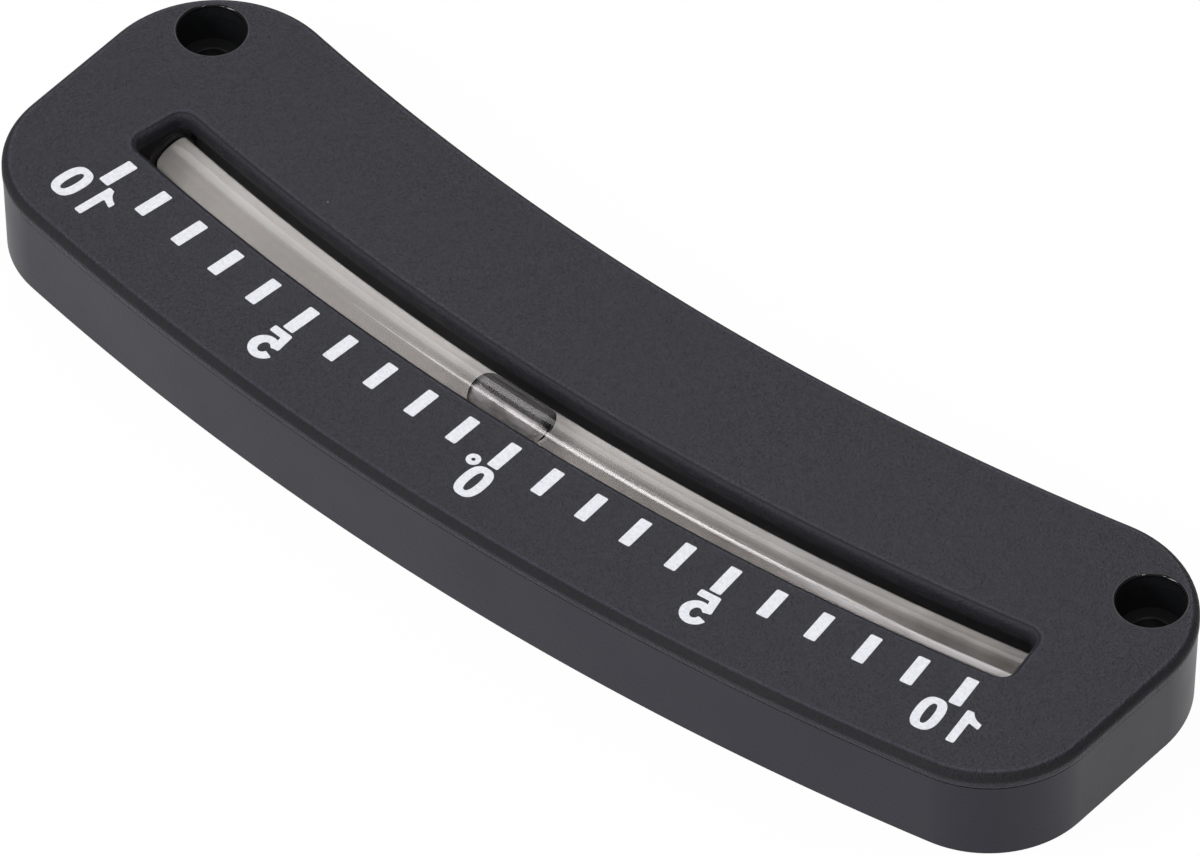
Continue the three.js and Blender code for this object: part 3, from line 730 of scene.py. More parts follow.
# %% Where the painted shade, the painted highlight and the bubble's painted light lie, in millimetres outward and to the right, and their colours
GLASS_INDEX, FLUID_INDEX = 1.47, 1.4
SHADE_OUT, SHADE_ALONG, GLASS_SHADE = (-1.5, 1.2), (-55, 10), ((0.36, 0.345, 0.34), (0.17, 0.158, 0.155))
HIGHLIGHT_INNER, HIGHLIGHT_OUTER, HIGHLIGHT_ALONG, HIGHLIGHT_FILM = (1.8, 1.95), (2.3, 2.45), (30, 42), (0.78, 0.745, 0.755, 1)
BUBBLE_LIGHT_OUT, BUBBLE_LIGHT_LEFT, BUBBLE_LIGHT_RIGHT, BUBBLE_LIGHT = (0.7, 0.95), (-12.6, -11.9), (-2.6, -1.7), (0.84, 0.81, 0.85, 1)
CLEAR, LAMP_TINT, BORE_TINT = (0.99, 0.988, 0.988), (0.98, 0.98, 0.98), (0.99, 0.99, 0.99)
FLUID_TINTS = (0.99, 0.985, 0.982), (0.985, 0.98, 0.976)


# %% Clear finishes
def glass_with_painted_light(name):
    """Glass with painted shade in its colour and a painted highlight film, on the side of the numbers."""
    finish = Finish(name, IOR=GLASS_INDEX, Transmission_Weight=1.0, Roughness=0.0)
    out, along, upper = finish.round_the_tube()
    # Painted shade: the glass's colour darkens on the side of the numbers and towards the right.
    finish.colour(out.ramp(*SHADE_OUT) * upper, CLEAR, finish.blend(along.ramp(*SHADE_ALONG), *GLASS_SHADE))
    wisps = finish.noise(0.0009, 3.0, (0.06, 1, 1)).ramp(0.3, 0.55)
    # Painted highlight: a pale diffuse band low on the side of the numbers near the right end.
    band = out.ramp(*HIGHLIGHT_INNER) * (1 - out.ramp(*HIGHLIGHT_OUTER)) * along.ramp(*HIGHLIGHT_ALONG)
    dust_and_highlight_film = finish.add("ShaderNodeBsdfDiffuse", inputs={"Color": HIGHLIGHT_FILM})
    return finish.cover(band * upper * (wisps * 0.4 + 0.6), dust_and_highlight_film.outputs[0]).let_lamps_through(LAMP_TINT)


def bubble_skin(name):
    """Air in the fluid, with a faint film of painted light on it that is streaky towards the numbers."""
    finish = Finish(name, IOR=1 / FLUID_INDEX, Transmission_Weight=1.0)
    out, along, upper = finish.round_the_tube()
    streaks = finish.noise(0.0011, 3.0, (0.25, 1, 1)).ramp(0.42, 0.6)
    finish.drive("Roughness", streaks * 0.12 + 0.03)
    # Painted light: a pale diffuse film on the bubble's upper skin, strongest and streaked towards the
    # numbers.
    painted_light_film = finish.add("ShaderNodeBsdfDiffuse", inputs={"Color": BUBBLE_LIGHT})
    film = (out.ramp(*BUBBLE_LIGHT_OUT) * (streaks * 0.65 + 0.2) + 0.09) * along.ramp(*BUBBLE_LIGHT_LEFT) * upper
    return finish.cover(film * (1 - along.ramp(*BUBBLE_LIGHT_RIGHT)), painted_light_film.outputs[0]).let_lamps_through(LAMP_TINT)


tube_glass, air = glass_with_painted_light("tube glass"), bubble_skin("air")

bore_glass = Finish("bore glass", IOR=GLASS_INDEX / FLUID_INDEX, Transmission_Weight=1.0, Roughness=0.0)
bore_glass.colour(bore_glass.noise(0.006, 2.0).ramp(0.3, 0.7), CLEAR, times(CLEAR, 0.985))
bore_glass.let_lamps_through(BORE_TINT)

fluid = Finish("fluid", IOR=FLUID_INDEX)
haze = [
    fluid.add("ShaderNodeBsdfTransparent", inputs={"Color": (*tint, 1)}).outputs[0]
    for tint in FLUID_TINTS
]
fluid.seen = haze[0]
fluid.cover(fluid.noise(0.008, 2.0).ramp(0.3, 0.7), haze[1])

# %% [markdown]
# ## Rubber, pale strip, steel and ink
#
# The rubber is dark with a faint bloom. The strip behind the tube is a pale matt laminate with long fibres.
# Its colour is painted darker towards the right, a painted shade that the tube in front of it shows. The
# screws are zinc-plated steel, turned and a little uneven. The ink is printed through a mesh, so its white is
# slightly mottled.

# %% The other finishes
cushion_rubber = Finish("cushion rubber", IOR=1.5, Roughness=0.7)
bloom = cushion_rubber.noise(0.002, 4.0)
cushion_rubber.colour(bloom.ramp(0.4, 0.75), (0.02, 0.02, 0.021), (0.06, 0.06, 0.062))
cushion_rubber.bump(bloom, 0.00003, 0.5)

plug_sealant = Finish("plug sealant", IOR=1.45, Roughness=0.4)
swirl = plug_sealant.noise(0.0012, 3.0)
plug_sealant.colour(swirl.ramp(0.3, 0.7), (0.5, 0.45, 0.36), (0.58, 0.54, 0.45)).bump(swirl, 0.00004, 0.4)

STRIP_SHADE_ALONG = 0, 65
pale_strip = Finish("pale strip", IOR=1.5, Specular_IOR_Level=0.3)
fibres = pale_strip.noise(0.0016, 4.0, (0.08, 1, 1), 0.65)
clouds = pale_strip.noise(0.009, 2.0, (0.5, 1, 1))
wear = fibres.ramp(0.35, 0.65) * 0.6 + clouds.ramp(0.3, 0.7) * 0.4
own_strip_tone = pale_strip.blend(wear, (0.74, 0.722, 0.7), (0.87, 0.855, 0.835))
shaded_strip_tone = pale_strip.blend(wear, (0.2, 0.188, 0.176), (0.5, 0.482, 0.46))
# Painted shade: the strip's colour darkens towards the right.
pale_strip.colour(pale_strip.along("X").ramp(*STRIP_SHADE_ALONG), own_strip_tone, shaded_strip_tone)
pale_strip.drive("Roughness", fibres * 0.2 + 0.5)

screw_steel = Finish("screw steel", Metallic=1.0)
turning = screw_steel.noise(0.0006, 3.0)
screw_steel.colour(turning.ramp(0.3, 0.7), (0.5, 0.5, 0.52), (0.66, 0.66, 0.67))
screw_steel.drive("Roughness", turning * 0.25 + 0.22)

print_ink = Finish("print ink", IOR=1.5, Roughness=0.5)
print_ink.colour(print_ink.noise(0.00035, 3.0).ramp(0.3, 0.65), (0.585, 0.595, 0.64), (0.715, 0.725, 0.77))

# %% [markdown]
# ## The tube, its fluid and the bubble
#
# The glass is one piece of tubing, bent along the scale and open at both ends until the plugs close it. The
# fluid fills it from plug to plug. The bubble is a little thinner than the bore and lies near its front.
# The pull of the fluid's surface rounds its ends, the right one more than the left. All of them are profiles
# turned about the tube's line, because that keeps every wall round and even along the bend.

# %% Profiles along the tube
TUBE_WALL, EDGE = 0.6, 0.2
BORE_RADIUS = TUBE_RADIUS - TUBE_WALL
PLUG_INSERT, PLUG_CLEARANCE, FLUID_END_GAP, FLUID_SIDE_GAP = 2.8, 0.1, 0.2, 0.01
BUBBLE_LENGTH, BUBBLE_PLACE, BUBBLE_RADIUS, BUBBLE_LIFT = 11.7, -7.15, 1.78, 0.2
BUBBLE_CAPS = 1.3, 1.9


def tube_profile():
    near, far = -TUBE_END, TUBE_END
    outer = straight(TUBE_RADIUS, near + EDGE, far - EDGE, TUBE_STEPS)
    bore = straight(BORE_RADIUS, far - EDGE, near + EDGE, TUBE_STEPS)
    right = quarter(TUBE_RADIUS - EDGE, far - EDGE, EDGE, EDGE, 0, 90, 4)
    right += quarter(BORE_RADIUS + EDGE, far - EDGE, -EDGE, EDGE, 90, 0, 4)
    left = quarter(BORE_RADIUS + EDGE, near + EDGE, -EDGE, -EDGE, 0, 90, 4)
    left += quarter(TUBE_RADIUS - EDGE, near + EDGE, EDGE, -EDGE, 90, 0, 4)
    return outer[:-1] + right + bore[1:-1] + left[:-1]


def fluid_profile():
    end = TUBE_END - PLUG_INSERT - FLUID_END_GAP
    return [(0, -end), *straight(BORE_RADIUS - FLUID_SIDE_GAP, -end, end, TUBE_STEPS), (0, end)]


def along_top_of_bore(radius, along, turn):
    x, y, height = along_tube(radius, along, turn)
    return (x, y, height + BUBBLE_LIFT)


def bubble_profile():
    radius, (left_cap, right_cap) = BUBBLE_RADIUS, BUBBLE_CAPS
    low = BUBBLE_PLACE - BUBBLE_LENGTH / 2 + left_cap
    high = BUBBLE_PLACE + BUBBLE_LENGTH / 2 - right_cap
    left = quarter(0, low, radius, -left_cap, 90, 0, 24)
    right = quarter(0, high, radius, right_cap, 0, 90, 24)
    side = straight(radius, low, high, 24)
    return [(0, left[0][1]), *left[1:], *side[1:-1], *right[:-1], (0, right[-1][1])]


level_tube = to_frame(turned("level_tube", tube_profile(), TUBE_SIDES, along_tube, closed=True))
fluid_column = to_frame(turned("fluid_column", fluid_profile(), TUBE_SIDES, along_tube))
bubble_surface = to_frame(turned("bubble_surface", bubble_profile(), TUBE_SIDES, along_top_of_bore))

# %% [markdown]
# ## Cushions and plugs
#
# Each end of the tube sits in a rubber cushion with rounded lips and two grooves round it, and is closed by a
# stopper with a domed flange. They are soft or turned pieces, so a rounded profile says all about them.

# %% Profiles of the cushions and plugs
LIP, GROOVE_SHARES = 0.3, (0.33, 0.67)
GROOVE_MOUTH, GROOVE_FLOOR, GROOVE_CUT = 0.45, 0.2, 0.18
PLUG_NOSE, PLUG_DOME, FLANGE_INSET = 0.3, 0.35, 0.15


def cushion_profile(side):
    inner, outer = TUBE_RADIUS + REST_GAP / 2, CUSHION_RADIUS
    rim = quarter(outer - LIP, CUSHION_START + LIP, LIP, -LIP, 90, 0, 6)
    for share in GROOVE_SHARES:
        middle = CUSHION_START + CUSHION_LENGTH * share
        rim += [(outer, middle - GROOVE_MOUTH), (outer - GROOVE_CUT, middle - GROOVE_FLOOR)]
        rim += [(outer - GROOVE_CUT, middle + GROOVE_FLOOR), (outer, middle + GROOVE_MOUTH)]
    rim += quarter(outer - LIP, CUSHION_END - LIP, LIP, LIP, 0, 90, 6)
    profile = rim + [(inner, CUSHION_END), (inner, CUSHION_START)]
    return [(radius, side * along) for radius, along in profile]


def plug_profile(side):
    insert, flange = BORE_RADIUS - PLUG_CLEARANCE / 2, TUBE_RADIUS - FLANGE_INSET
    foot, top = TUBE_END + REST_GAP, TUBE_END + REST_GAP + FLANGE
    inside = TUBE_END - PLUG_INSERT
    profile = [(0, inside)] + quarter(insert - PLUG_NOSE, inside + PLUG_NOSE, PLUG_NOSE, -PLUG_NOSE, 90, 0, 5)
    profile += [(insert, foot), (flange, foot)]
    profile += quarter(flange - PLUG_DOME, top - PLUG_DOME, PLUG_DOME, PLUG_DOME, 0, 90, 6) + [(0, top)]
    return [(radius, side * along) for radius, along in profile]


cushions, plugs = [], []
for label, side in (("left", -1), ("right", 1)):
    cushion = turned(f"cushion_{label}", cushion_profile(side), TUBE_SIDES, along_tube, closed=True)
    plug = turned(f"stopper_{label}", plug_profile(side), TUBE_SIDES, along_tube)
    cushions.append(to_frame(cushion))
    plugs.append(to_frame(plug))

# %% [markdown]
# ## Geometry Nodes: a tree from a short list
#
# The instrument has two families of repeated pieces, the six cover screws and the 21 ticks. Geometry Nodes
# place such copies from a few named inputs. One helper starts a tree, and one runs the finished tree and
# keeps its result as a plain mesh.

# %% Helpers for Geometry Nodes
def new_tree(name, inputs):
    tree = bpy.data.node_groups.new(name, "GeometryNodeTree")
    tree.interface.new_socket("Geometry", in_out="INPUT", socket_type="NodeSocketGeometry")
    for label, kind in inputs.items():
        tree.interface.new_socket(label, in_out="INPUT", socket_type="NodeSocket" + kind)
    tree.interface.new_socket("Geometry", in_out="OUTPUT", socket_type="NodeSocketGeometry")
    return tree, tree.nodes.new("NodeGroupInput").outputs


def close_tree(tree, geometry, material):
    """Ends a tree in real geometry with one material."""
    real = add_node(tree, "GeometryNodeRealizeInstances", inputs={"Geometry": geometry}).outputs[0]
    painted = add_node(tree, "GeometryNodeSetMaterial", inputs={"Geometry": real, "Material": material})
    add_node(tree, "NodeGroupOutput", inputs={"Geometry": painted.outputs[0]})


def run_tree(piece, tree, values):
    step = piece.modifiers.new(tree.name, "NODES")
    step.node_group = tree
    for item in tree.interface.items_tree:
        if item.in_out == "INPUT" and item.name in values:
            step[item.identifier] = values[item.name]
    mesh = evaluated_mesh(piece)
    piece.modifiers.clear()
    piece.data = mesh
    print(f"{piece.name}: {len(mesh.polygons)} faces")
    return piece


# %% [markdown]
# ## The cover screws
#
# Six small countersunk screws with a cross recess. One master is turned and cut, and a tree sets a copy on
# each point of a six-point mesh.

# %% The master screw
THREAD_RINGS, THREAD_DEPTH, THREAD_SETBACK, SCREW_POINT, HEAD_EDGE = 9, 0.25, 0.3, 1.2, 0.1
ROOT_SHARE, CREST_SHARE = 0.4, 0.7
# The height, half length and half width of the cross recess, just outside its mouth and at its floor.
RECESS = (-0.2, 1.3, 0.36), (1.0, 0.75, 0.22)


def master_screw():
    crest, core, neck = COVER_SCREW_RADIUS, COVER_SCREW_RADIUS - THREAD_DEPTH, HEAD_HEIGHT + THREAD_SETBACK
    profile = [(0, 0), (HEAD_RADIUS - HEAD_EDGE, 0), (HEAD_RADIUS, HEAD_EDGE), (crest, HEAD_HEIGHT)]
    pitch = (COVER_SCREW_LENGTH - SCREW_POINT - neck) / THREAD_RINGS
    for ring in range(THREAD_RINGS):
        start = neck + pitch * ring
        profile += [(core, start), (core, start + pitch * ROOT_SHARE), (crest, start + pitch * CREST_SHARE)]
    profile += [(core, COVER_SCREW_LENGTH - SCREW_POINT), (0, COVER_SCREW_LENGTH)]
    screw = turned("screw", profile, HOLE_SIDES // 2, upright(0, -CENTRE_Y))
    for turn in (0, math.pi / 2):
        levels = []
        for height, length, width in RECESS:
            corners = [(length, -width), (length, width), (-length, width), (-length, -width)]
            ring = [Matrix.Rotation(turn, 2) @ Vector(c) - Vector((0, CENTRE_Y)) for c in corners]
            levels.append((ring, height))
        carve(screw, [loft("recess", levels)])
    return to_frame(screw)


# %% Six copies on six points
screw_tree, given = new_tree("screw copies", {"Screw": "Object", "Finish": "Material"})
master = add_node(screw_tree, "GeometryNodeObjectInfo", inputs={"Object": given["Screw"]})
spots = {"Points": given["Geometry"], "Instance": master.outputs["Geometry"]}
copies = add_node(screw_tree, "GeometryNodeInstanceOnPoints", inputs=spots)
close_tree(screw_tree, copies.outputs[0], given["Finish"])

spots = [(p.x * MM, (p.y + CENTRE_Y) * MM, COVER_SCREW_SUNK * MM) for p in SCREW_PLACES]
spot_mesh = bpy.data.meshes.new("screw places")
spot_mesh.from_pydata(spots, [], [])
cover_screws = add_object("cover_screws", spot_mesh)
screw = master_screw()
run_tree(cover_screws, screw_tree, {"Screw": screw, "Finish": screw_steel.material})
bpy.data.objects.remove(screw)

# %% [markdown]
# ## The printed ticks
#
# One tick stands at each degree from -10 to 10, a short bar with softened corners. The tree makes one bar
# from a rounded rectangle, gives it the ink's thickness, and turns a copy about the scale's centre for each
# degree. A change of step or count needs no other edit.

# %% The tick tree
TICK_STEP, TICK_REACH = 1, 10
TICK_INNER, TICK_LENGTH, TICK_WIDTH, TICK_CORNER = 360.05, 4.47, 1.57, 0.2
CORNER_POINTS, WELD = 5, 0.01

tick_sizes = {"Ticks": "Int", "Step": "Float", "Inner radius": "Float", "Length": "Float", "Width": "Float"}
tick_sizes |= {"Corner": "Float", "Thickness": "Float", "Centre": "Vector", "Finish": "Material"}
tick_tree, given = new_tree("tick marks", tick_sizes)


def tick_maths(operation, *terms):
    return add_node(tick_tree, "ShaderNodeMath", {"operation": operation}, dict(enumerate(terms))).outputs[0]


def tick_node(kind, inputs=None, settings=None):
    return add_node(tick_tree, kind, settings, inputs).outputs[0]


bar = {"Width": given["Width"], "Height": given["Length"]}
bar = tick_node("GeometryNodeCurvePrimitiveQuadrilateral", bar)
soft = {"Curve": bar, "Radius": given["Corner"], "Count": CORNER_POINTS}
soft = tick_node("GeometryNodeFilletCurve", soft, {"mode": "POLY"})
flat = tick_node("GeometryNodeFillCurve", {"Curve": soft}, {"mode": "NGONS"})
raised = {"Mesh": flat, "Offset Scale": given["Thickness"], "Individual": False}
both = add_node(tick_tree, "GeometryNodeJoinGeometry")
for kind, inputs in (("GeometryNodeExtrudeMesh", raised), ("GeometryNodeFlipFaces", {"Mesh": flat})):
    tick_tree.links.new(tick_node(kind, inputs), both.inputs[0])
closed = tick_node("GeometryNodeMergeByDistance", {"Geometry": both.outputs[0], "Distance": WELD * MM})
middle = tick_maths("ADD", given["Inner radius"], tick_maths("MULTIPLY", given["Length"], 0.5))
drop = tick_node("ShaderNodeCombineXYZ", {"Y": tick_maths("MULTIPLY", middle, -1)})
tick = tick_node("GeometryNodeTransform", {0: closed, "Translation": drop})
line = {"Count": given["Ticks"], "Start Location": given["Centre"], "Offset": (0, 0, 0)}
line = tick_node("GeometryNodeMeshLine", line)
half_way = tick_maths("MULTIPLY", tick_maths("SUBTRACT", given["Ticks"], 1), 0.5)
turns = tick_maths("SUBTRACT", tick_node("GeometryNodeInputIndex"), half_way)
turn = tick_node("ShaderNodeCombineXYZ", {"Z": tick_maths("MULTIPLY", turns, given["Step"])})
turn = tick_node("FunctionNodeEulerToRotation", {0: turn})
spots = tick_node("GeometryNodeInstanceOnPoints", {"Points": line, "Instance": tick, "Rotation": turn})
close_tree(tick_tree, spots, given["Finish"])

# %% Running the tick tree
tick_values = {
    "Ticks": 2 * TICK_REACH // TICK_STEP + 1,
    "Step": math.radians(TICK_STEP),
    "Inner radius": TICK_INNER * MM,
    "Length": TICK_LENGTH * MM,
    "Width": TICK_WIDTH * MM,
    "Corner": TICK_CORNER * MM,
    "Thickness": INK_THICKNESS * MM,
    "Centre": (0, CENTRE_Y * MM, FACE * MM),
    "Finish": print_ink.material,
}
scale_marks = run_tree(add_object("scale_marks", bpy.data.meshes.new("scale_marks")), tick_tree, tick_values)

# %% [markdown]
# ## The printed numbers
#
# The figures are drawn as outlines, in millimetres: across in reading direction, and down from the top of the
# figure, which is outward along the radius. A flat curve fills an outline and leaves its holes open. The
# figures on this instrument are the mirror image of ordinary ones, and one named value turns them all.

# %% Outlines of the figures
READING_SIDE = -1
FIGURE_TOP, FIGURE_HEIGHT, STROKE_HALF = 364.89, 5.35, 0.55


def oval(across, radius, half_width, half_height, power=2.6, steps=56):
    """A rounded outline that is squarer than an ellipse when the power is above 2."""
    points = []
    for i in range(steps):
        turn = 2 * math.pi * i / steps
        c, s = math.cos(turn), math.sin(turn)
        x = math.copysign(abs(c) ** (2 / power), c)
        y = math.copysign(abs(s) ** (2 / power), s)
        points.append((across + half_width * x, radius + half_height * y))
    return points


def sweep(across, radius, half_width, half_height, start, end, steps=30):
    """Part of an ellipse. Its angle is 0 at the top and grows to the right."""
    turns = [math.radians(start + (end - start) * i / steps) for i in range(steps + 1)]
    return [(across + half_width * math.sin(t), radius - half_height * math.cos(t)) for t in turns]


def bend(start, pull, end, steps=10):
    """A curve from start to end that leans towards one point."""
    made = []
    for i in range(steps + 1):
        t = i / steps
        weights = (1 - t) ** 2, 2 * t * (1 - t), t**2
        made.append(tuple(sum(w * v for w, v in zip(weights, values)) for values in zip(start, pull, end)))
    return made


def soften(outline, reach=0.24, least_turn=30):
    """Rounds the sharp corners of an outline, as ink does when it runs a little."""
    made = []
    for before, corner, after in zip(outline[-1:] + outline[:-1], outline, outline[1:] + outline[:1]):
        before, corner, after = Vector(before), Vector(corner), Vector(after)
        to_corner, from_corner = corner - before, after - corner
        if math.degrees(to_corner.angle(from_corner)) < least_turn:
            made.append(tuple(corner))
            continue
        near = corner - to_corner.normalized() * min(reach, to_corner.length / 2)
        far = corner + from_corner.normalized() * min(reach, from_corner.length / 2)
        made += bend(near, corner, far, 4)
    return made


# %% Nought, one, five and the degree ring
def nought(across, lift=0.0):
    middle = FIGURE_TOP + FIGURE_HEIGHT / 2 - lift
    return [oval(across, middle, 1.69, 2.6), oval(across, middle, 0.54, 1.66, 2.4)]


def one(across, lift):
    half, foot = STROKE_HALF, FIGURE_HEIGHT - 0.1
    flag = bend((-0.3, 0), (-0.75, 0.95), (-1.94, 1.25))
    outline = [(-half, foot), (half, foot), (half, 0), *flag, (-1.94, 2.15), (-half, 1.7)]
    return [soften([(across + x, FIGURE_TOP - lift + down) for x, down in outline])]


def five():
    outline = [(-1.25, 0.01), (1.5, 0.01), (1.5, 1.04), (-0.35, 1.05), (-0.44, 1.61)]
    outline += sweep(0, 3.41, 1.87, 1.87, -10, 252)
    outline += sweep(-0.03, 3.41, 0.64, 0.84, 252, -50)
    outline += [(-0.8, 2.97), (-0.9, 2.86), (-1.67, 2.73)]
    return [soften([(across, FIGURE_TOP + down) for across, down in outline])]


def degree_ring(across):
    return [oval(across, FIGURE_TOP + 0.03, radius, radius, 2) for radius in (0.88, 0.25)]


# %% Setting the labels on the face
NOUGHT_SHIFT, RING_PLACE, TEN_PLACES, TEN_LIFT, TEN_SHIFT = 0.1, 2.39, (-2.0, 2.1), 0.42, 0.31


def label_curves(curve, loops, angle, shift):
    """Adds closed outlines, placed as one block at an angle on the scale."""
    out = polar(1, angle)
    along = Vector((-out.y, out.x))
    for loop in loops:
        spline = curve.splines.new("POLY")
        spline.points.add(len(loop) - 1)
        spline.use_cyclic_u = True
        for point, (across, radius) in zip(spline.points, loop):
            place = out * radius + along * (READING_SIDE * across + shift)
            point.co = (place.x, place.y, 0, 1)


numbers = bpy.data.curves.new("scale numbers", "CURVE")
numbers.dimensions, numbers.fill_mode = "2D", "BOTH"
numbers.extrude = INK_THICKNESS / 2
label_curves(numbers, nought(NOUGHT_SHIFT) + degree_ring(RING_PLACE), 0, 0)
for side in (-1, 1):
    label_curves(numbers, five(), side * 5, 0)
    ten = one(TEN_PLACES[0], TEN_LIFT) + nought(TEN_PLACES[1], TEN_LIFT)
    label_curves(numbers, ten, side * 10, side * TEN_SHIFT)
drawn = add_object("drawn numbers", numbers)
number_mesh = evaluated_mesh(drawn)
number_mesh.transform(Matrix.Translation((0, CENTRE_Y, FACE + INK_THICKNESS / 2)))
number_mesh.transform(Matrix.Scale(MM, 4))
scale_numbers = add_object("scale_numbers", number_mesh)
bpy.data.objects.remove(drawn)
print(f"scale_numbers: {len(number_mesh.polygons)} faces")

# %% [markdown]
# ## Putting the finishes on, and hiding the CAD pieces
#
# Each new piece gets its material, rides a body, and stands for the CAD pieces that it replaces, which are
# hidden. The pale strip is a thin flat plate that CAD already shows well, so that node stays and only gets
# its finish.
#
# Some faces differ from the rest of their piece. On the case they are the walls of the slot, the holes and
# their rounded mouths, and on the tube they are those of the bore. Each is told by where it lies.

# %% Materials, bodies and replaced nodes
SCREW_NODES = [f"cover_screw_{number}" for number in range(1, 7)]
dressed = [
    (case_shell, case_plastic, "case_plastic", ["front_case"]),
    (cover_plate, cover_plastic, "cover_plastic", ["back_cover"]),
    (cover_screws, screw_steel, "screw_steel", SCREW_NODES),
    (level_tube, tube_glass, "tube_glass", ["glass_tube"]),
    (fluid_column, fluid, "fluid", ["damping_fluid"]),
    (bubble_surface, air, "air", ["air_bubble"]),
    (cushions[0], cushion_rubber, "cushion_rubber", ["tube_cushion_left"]),
    (cushions[1], cushion_rubber, "cushion_rubber", ["tube_cushion_right"]),
    (plugs[0], plug_sealant, "plug_sealant", ["tube_plug_left"]),
    (plugs[1], plug_sealant, "plug_sealant", ["tube_plug_right"]),
    (scale_marks, print_ink, "case_plastic", []),
    (scale_numbers, print_ink, "case_plastic", []),
]
for piece, finish, slot_name, nodes in dressed:
    piece.data.materials.clear()
    piece.data.materials.append(finish.material)
    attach(piece, "bubble" if piece is bubble_surface else "case")
    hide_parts(*nodes)

for node in frame["nodes"].values():
    if not node.hide_render:
        node.data.materials.clear()
        node.data.materials.append(pale_strip.material)
        print("shown as CAD made it:", node.name)

# %% Walls of the slot and the holes, and the bore's own surface
HAIR, RIM_LEFT_GRAINED = 0.002, 0.1
for finish in (polished_plastic, shaded_slot_plastic, shaded_hole_plastic):
    case_shell.data.materials.append(finish.material)
PLAIN, POLISHED, SLOT, HOLE = range(4)
corners = [corner.co / MM for corner in case_shell.data.vertices]
from_axis = [math.hypot(abs(x) - MOUNTING_X, y - CENTRE_Y - MOUNTING_Y) for x, y, z in corners]
from_centre = [math.hypot(x, y - CENTRE_Y) for x, y, z in corners]
for face in case_shell.data.polygons:
    farthest = max(from_axis[corner] for corner in face.vertices)
    radii = [from_centre[corner] for corner in face.vertices]
    heights = [corners[corner].z for corner in face.vertices]
    in_slot = CHANNEL_INNER - REST_GAP < min(radii) and max(radii) < SLOT_OUTER + SLOT_ROUNDING
    face.material_index = PLAIN
    if farthest < HEAD_HOLE + HAIR:
        face.material_index = HOLE
    elif farthest < HEAD_HOLE + MOUTH_WIDTH + HAIR:
        face.material_index = POLISHED
    elif in_slot and COVER_TOP < min(heights) and max(heights) < FACE - RIM_LEFT_GRAINED:
        face.material_index = SLOT

level_tube.data.materials.append(bore_glass.material)
limit = (BORE_RADIUS + EDGE / 2) * MM
for face in level_tube.data.polygons:
    x, y, z = face.center
    from_line = math.hypot(math.hypot(x, y - CENTRE_Y * MM) - TUBE_LINE_RADIUS * MM, z - TUBE_AXIS * MM)
    face.material_index = 1 if from_line < limit else 0

# %% [markdown]
# ## Floor, light and camera
#
# The picture is a plain product photograph on a white ground, with hardly a shadow. A large window stands
# behind the object, where the face mirrors it softly towards the camera. Two long lamps in front, to the
# left, draw the bright line along the bent tube, each for its own part of the bend. Two small ones make the
# glints on the mouths of the screw holes, and one overhead fills in.
#
# The floor and the world look white to the camera and through glass, while they light the object at a plain
# level. What shiny black plastic mirrors decides its tone, so in reflections the floor stays nearly white, as
# the side walls show it, and the room round it is dark.

# %% The white ground and the room
GROUND_REACH, GROUND_DROP, GROUND_SEEN, GROUND_MIRRORED = 6, 0.0001, 0.97, 0.86
ROOM_LIGHT, ROOM_MIRRORED, WHITE_MIRRORED = 0.3, 0.12, 0.05


def white_to_eyes(tree, plain, white, output, share, mirrored_share):
    """Mixes a white glow over a plain shader for camera, transmission and glossy rays."""
    path = add_node(tree, "ShaderNodeLightPath").outputs
    seen = Signal(path["Is Camera Ray"]).maths("MAXIMUM", Signal(path["Is Transmission Ray"])) * share
    seen = seen.maths("MAXIMUM", Signal(path["Is Glossy Ray"]) * mirrored_share)
    mix = add_node(tree, "ShaderNodeMixShader", inputs={0: seen, 1: plain, 2: white})
    tree.links.new(mix.outputs[0], output)


ground_finish = Finish("pale ground", Roughness=0.9)
cloth = ground_finish.noise(0.4, 2.0)
ground_finish.drive("Base Color", ground_finish.blend(cloth, (0.8, 0.8, 0.8), (0.82, 0.82, 0.82)))
glow = ground_finish.add("ShaderNodeEmission", inputs={"Color": (1, 1, 1, 1), "Strength": 1.0})
plain_ground = ground_finish.shader.outputs[0]
surfaces = (plain_ground, glow.outputs[0], ground_finish.surface)
white_to_eyes(ground_finish.tree, *surfaces, GROUND_SEEN, GROUND_MIRRORED)

corners = [(x * GROUND_REACH, y * GROUND_REACH) for x, y in ((-1, -1), (1, -1), (1, 1), (-1, 1))]
ground_mesh = bpy.data.meshes.new("ground")
ground_mesh.from_pydata([(x, y, cad_box[0][2] - GROUND_DROP) for x, y in corners], [], [(0, 1, 2, 3)])
ground_mesh.materials.append(ground_finish.material)
ground = add_object("ground", ground_mesh)

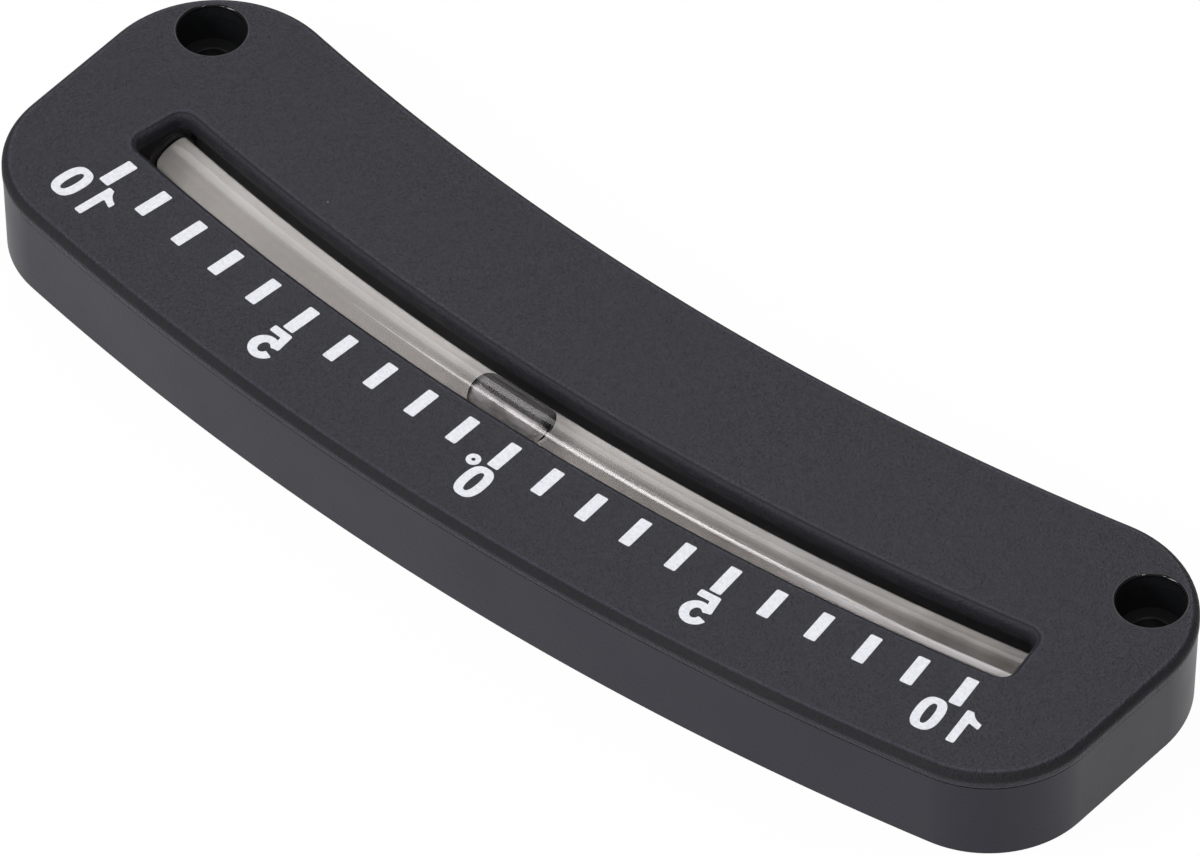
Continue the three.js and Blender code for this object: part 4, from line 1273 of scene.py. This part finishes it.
world = bpy.data.worlds.new("studio")
bpy.context.scene.world = world
world.use_nodes = True
studio = world.node_tree
room = studio.nodes["Background"]
room.inputs["Color"].default_value = (1, 1, 1, 1)
room.inputs["Strength"].default_value = ROOM_LIGHT
dark = add_node(studio, "ShaderNodeBackground", inputs={"Color": (1, 1, 1, 1), "Strength": ROOM_MIRRORED})
white = add_node(studio, "ShaderNodeBackground", inputs={"Color": (1, 1, 1, 1), "Strength": 1.0})
glossy = add_node(studio, "ShaderNodeLightPath").outputs["Is Glossy Ray"]
around = add_node(studio, "ShaderNodeMixShader", inputs={0: glossy, 1: room.outputs[0], 2: dark.outputs[0]})
sky = studio.nodes["World Output"].inputs["Surface"]
white_to_eyes(studio, around.outputs[0], white.outputs[0], sky, 1.0, WHITE_MIRRORED)

# %% Directions and lamps
def direction(azimuth, elevation):
    """Points from the object, with azimuth 0 to the front and growing to the right."""
    turn, rise = math.radians(azimuth), math.radians(elevation)
    return Vector((math.sin(turn) * math.cos(rise), -math.cos(turn) * math.cos(rise), math.sin(rise)))


def softbox(name, azimuth, elevation, distance, width, height, power, roll=0):
    """A lamp that faces the object. Angles are in degrees, sizes in metres and power in watts."""
    way, roll = direction(azimuth, elevation), math.radians(roll)
    lamp = bpy.data.lights.new(name, "AREA")
    lamp.shape, lamp.size, lamp.size_y, lamp.energy = "RECTANGLE", width, height, power
    box = add_object(name, lamp)
    box.location = way * distance
    box.rotation_euler = (way.to_track_quat("Z", "Y").to_matrix() @ Matrix.Rotation(roll, 3, "Z")).to_euler()


softbox("window", -140, 46, 1.8, 1.6, 1.2, 12.6)
softbox("tube line", -38, 46, 1.3, 0.36, 0.22, 1.9, roll=-10)
softbox("tube band", -20, 32.5, 1.3, 0.86, 0.32, 7.4, roll=-57)
softbox("front right", 65, 42, 1.5, 0.13, 0.13, 2.8)
softbox("front left", 3, 41, 1.5, 0.13, 0.13, 2.4)
softbox("overhead", 60, 75, 1.5, 1, 1, 5)

# %% The camera
CAMERA_AZIMUTH, CAMERA_ELEVATION = 40.276, 46.232
CAMERA_DISTANCE, CAMERA_LENS, FILM_WIDTH, FARTHEST_SEEN = 2.38682, 631.69, 36, 50
CAMERA_TARGET = Vector((0.005329, CENTRE_Y * MM - 0.351874, CASE_HEIGHT * MM))

lens = bpy.data.cameras.new("camera")
lens.lens, lens.sensor_width, lens.clip_end = CAMERA_LENS, FILM_WIDTH, FARTHEST_SEEN
camera = add_object("camera", lens)
look = direction(CAMERA_AZIMUTH, CAMERA_ELEVATION)
camera.location = CAMERA_TARGET + look * CAMERA_DISTANCE
camera.rotation_euler = look.to_track_quat("Z", "Y").to_euler()
bpy.context.scene.camera = camera
bpy.context.scene.view_settings.view_transform = "Standard"
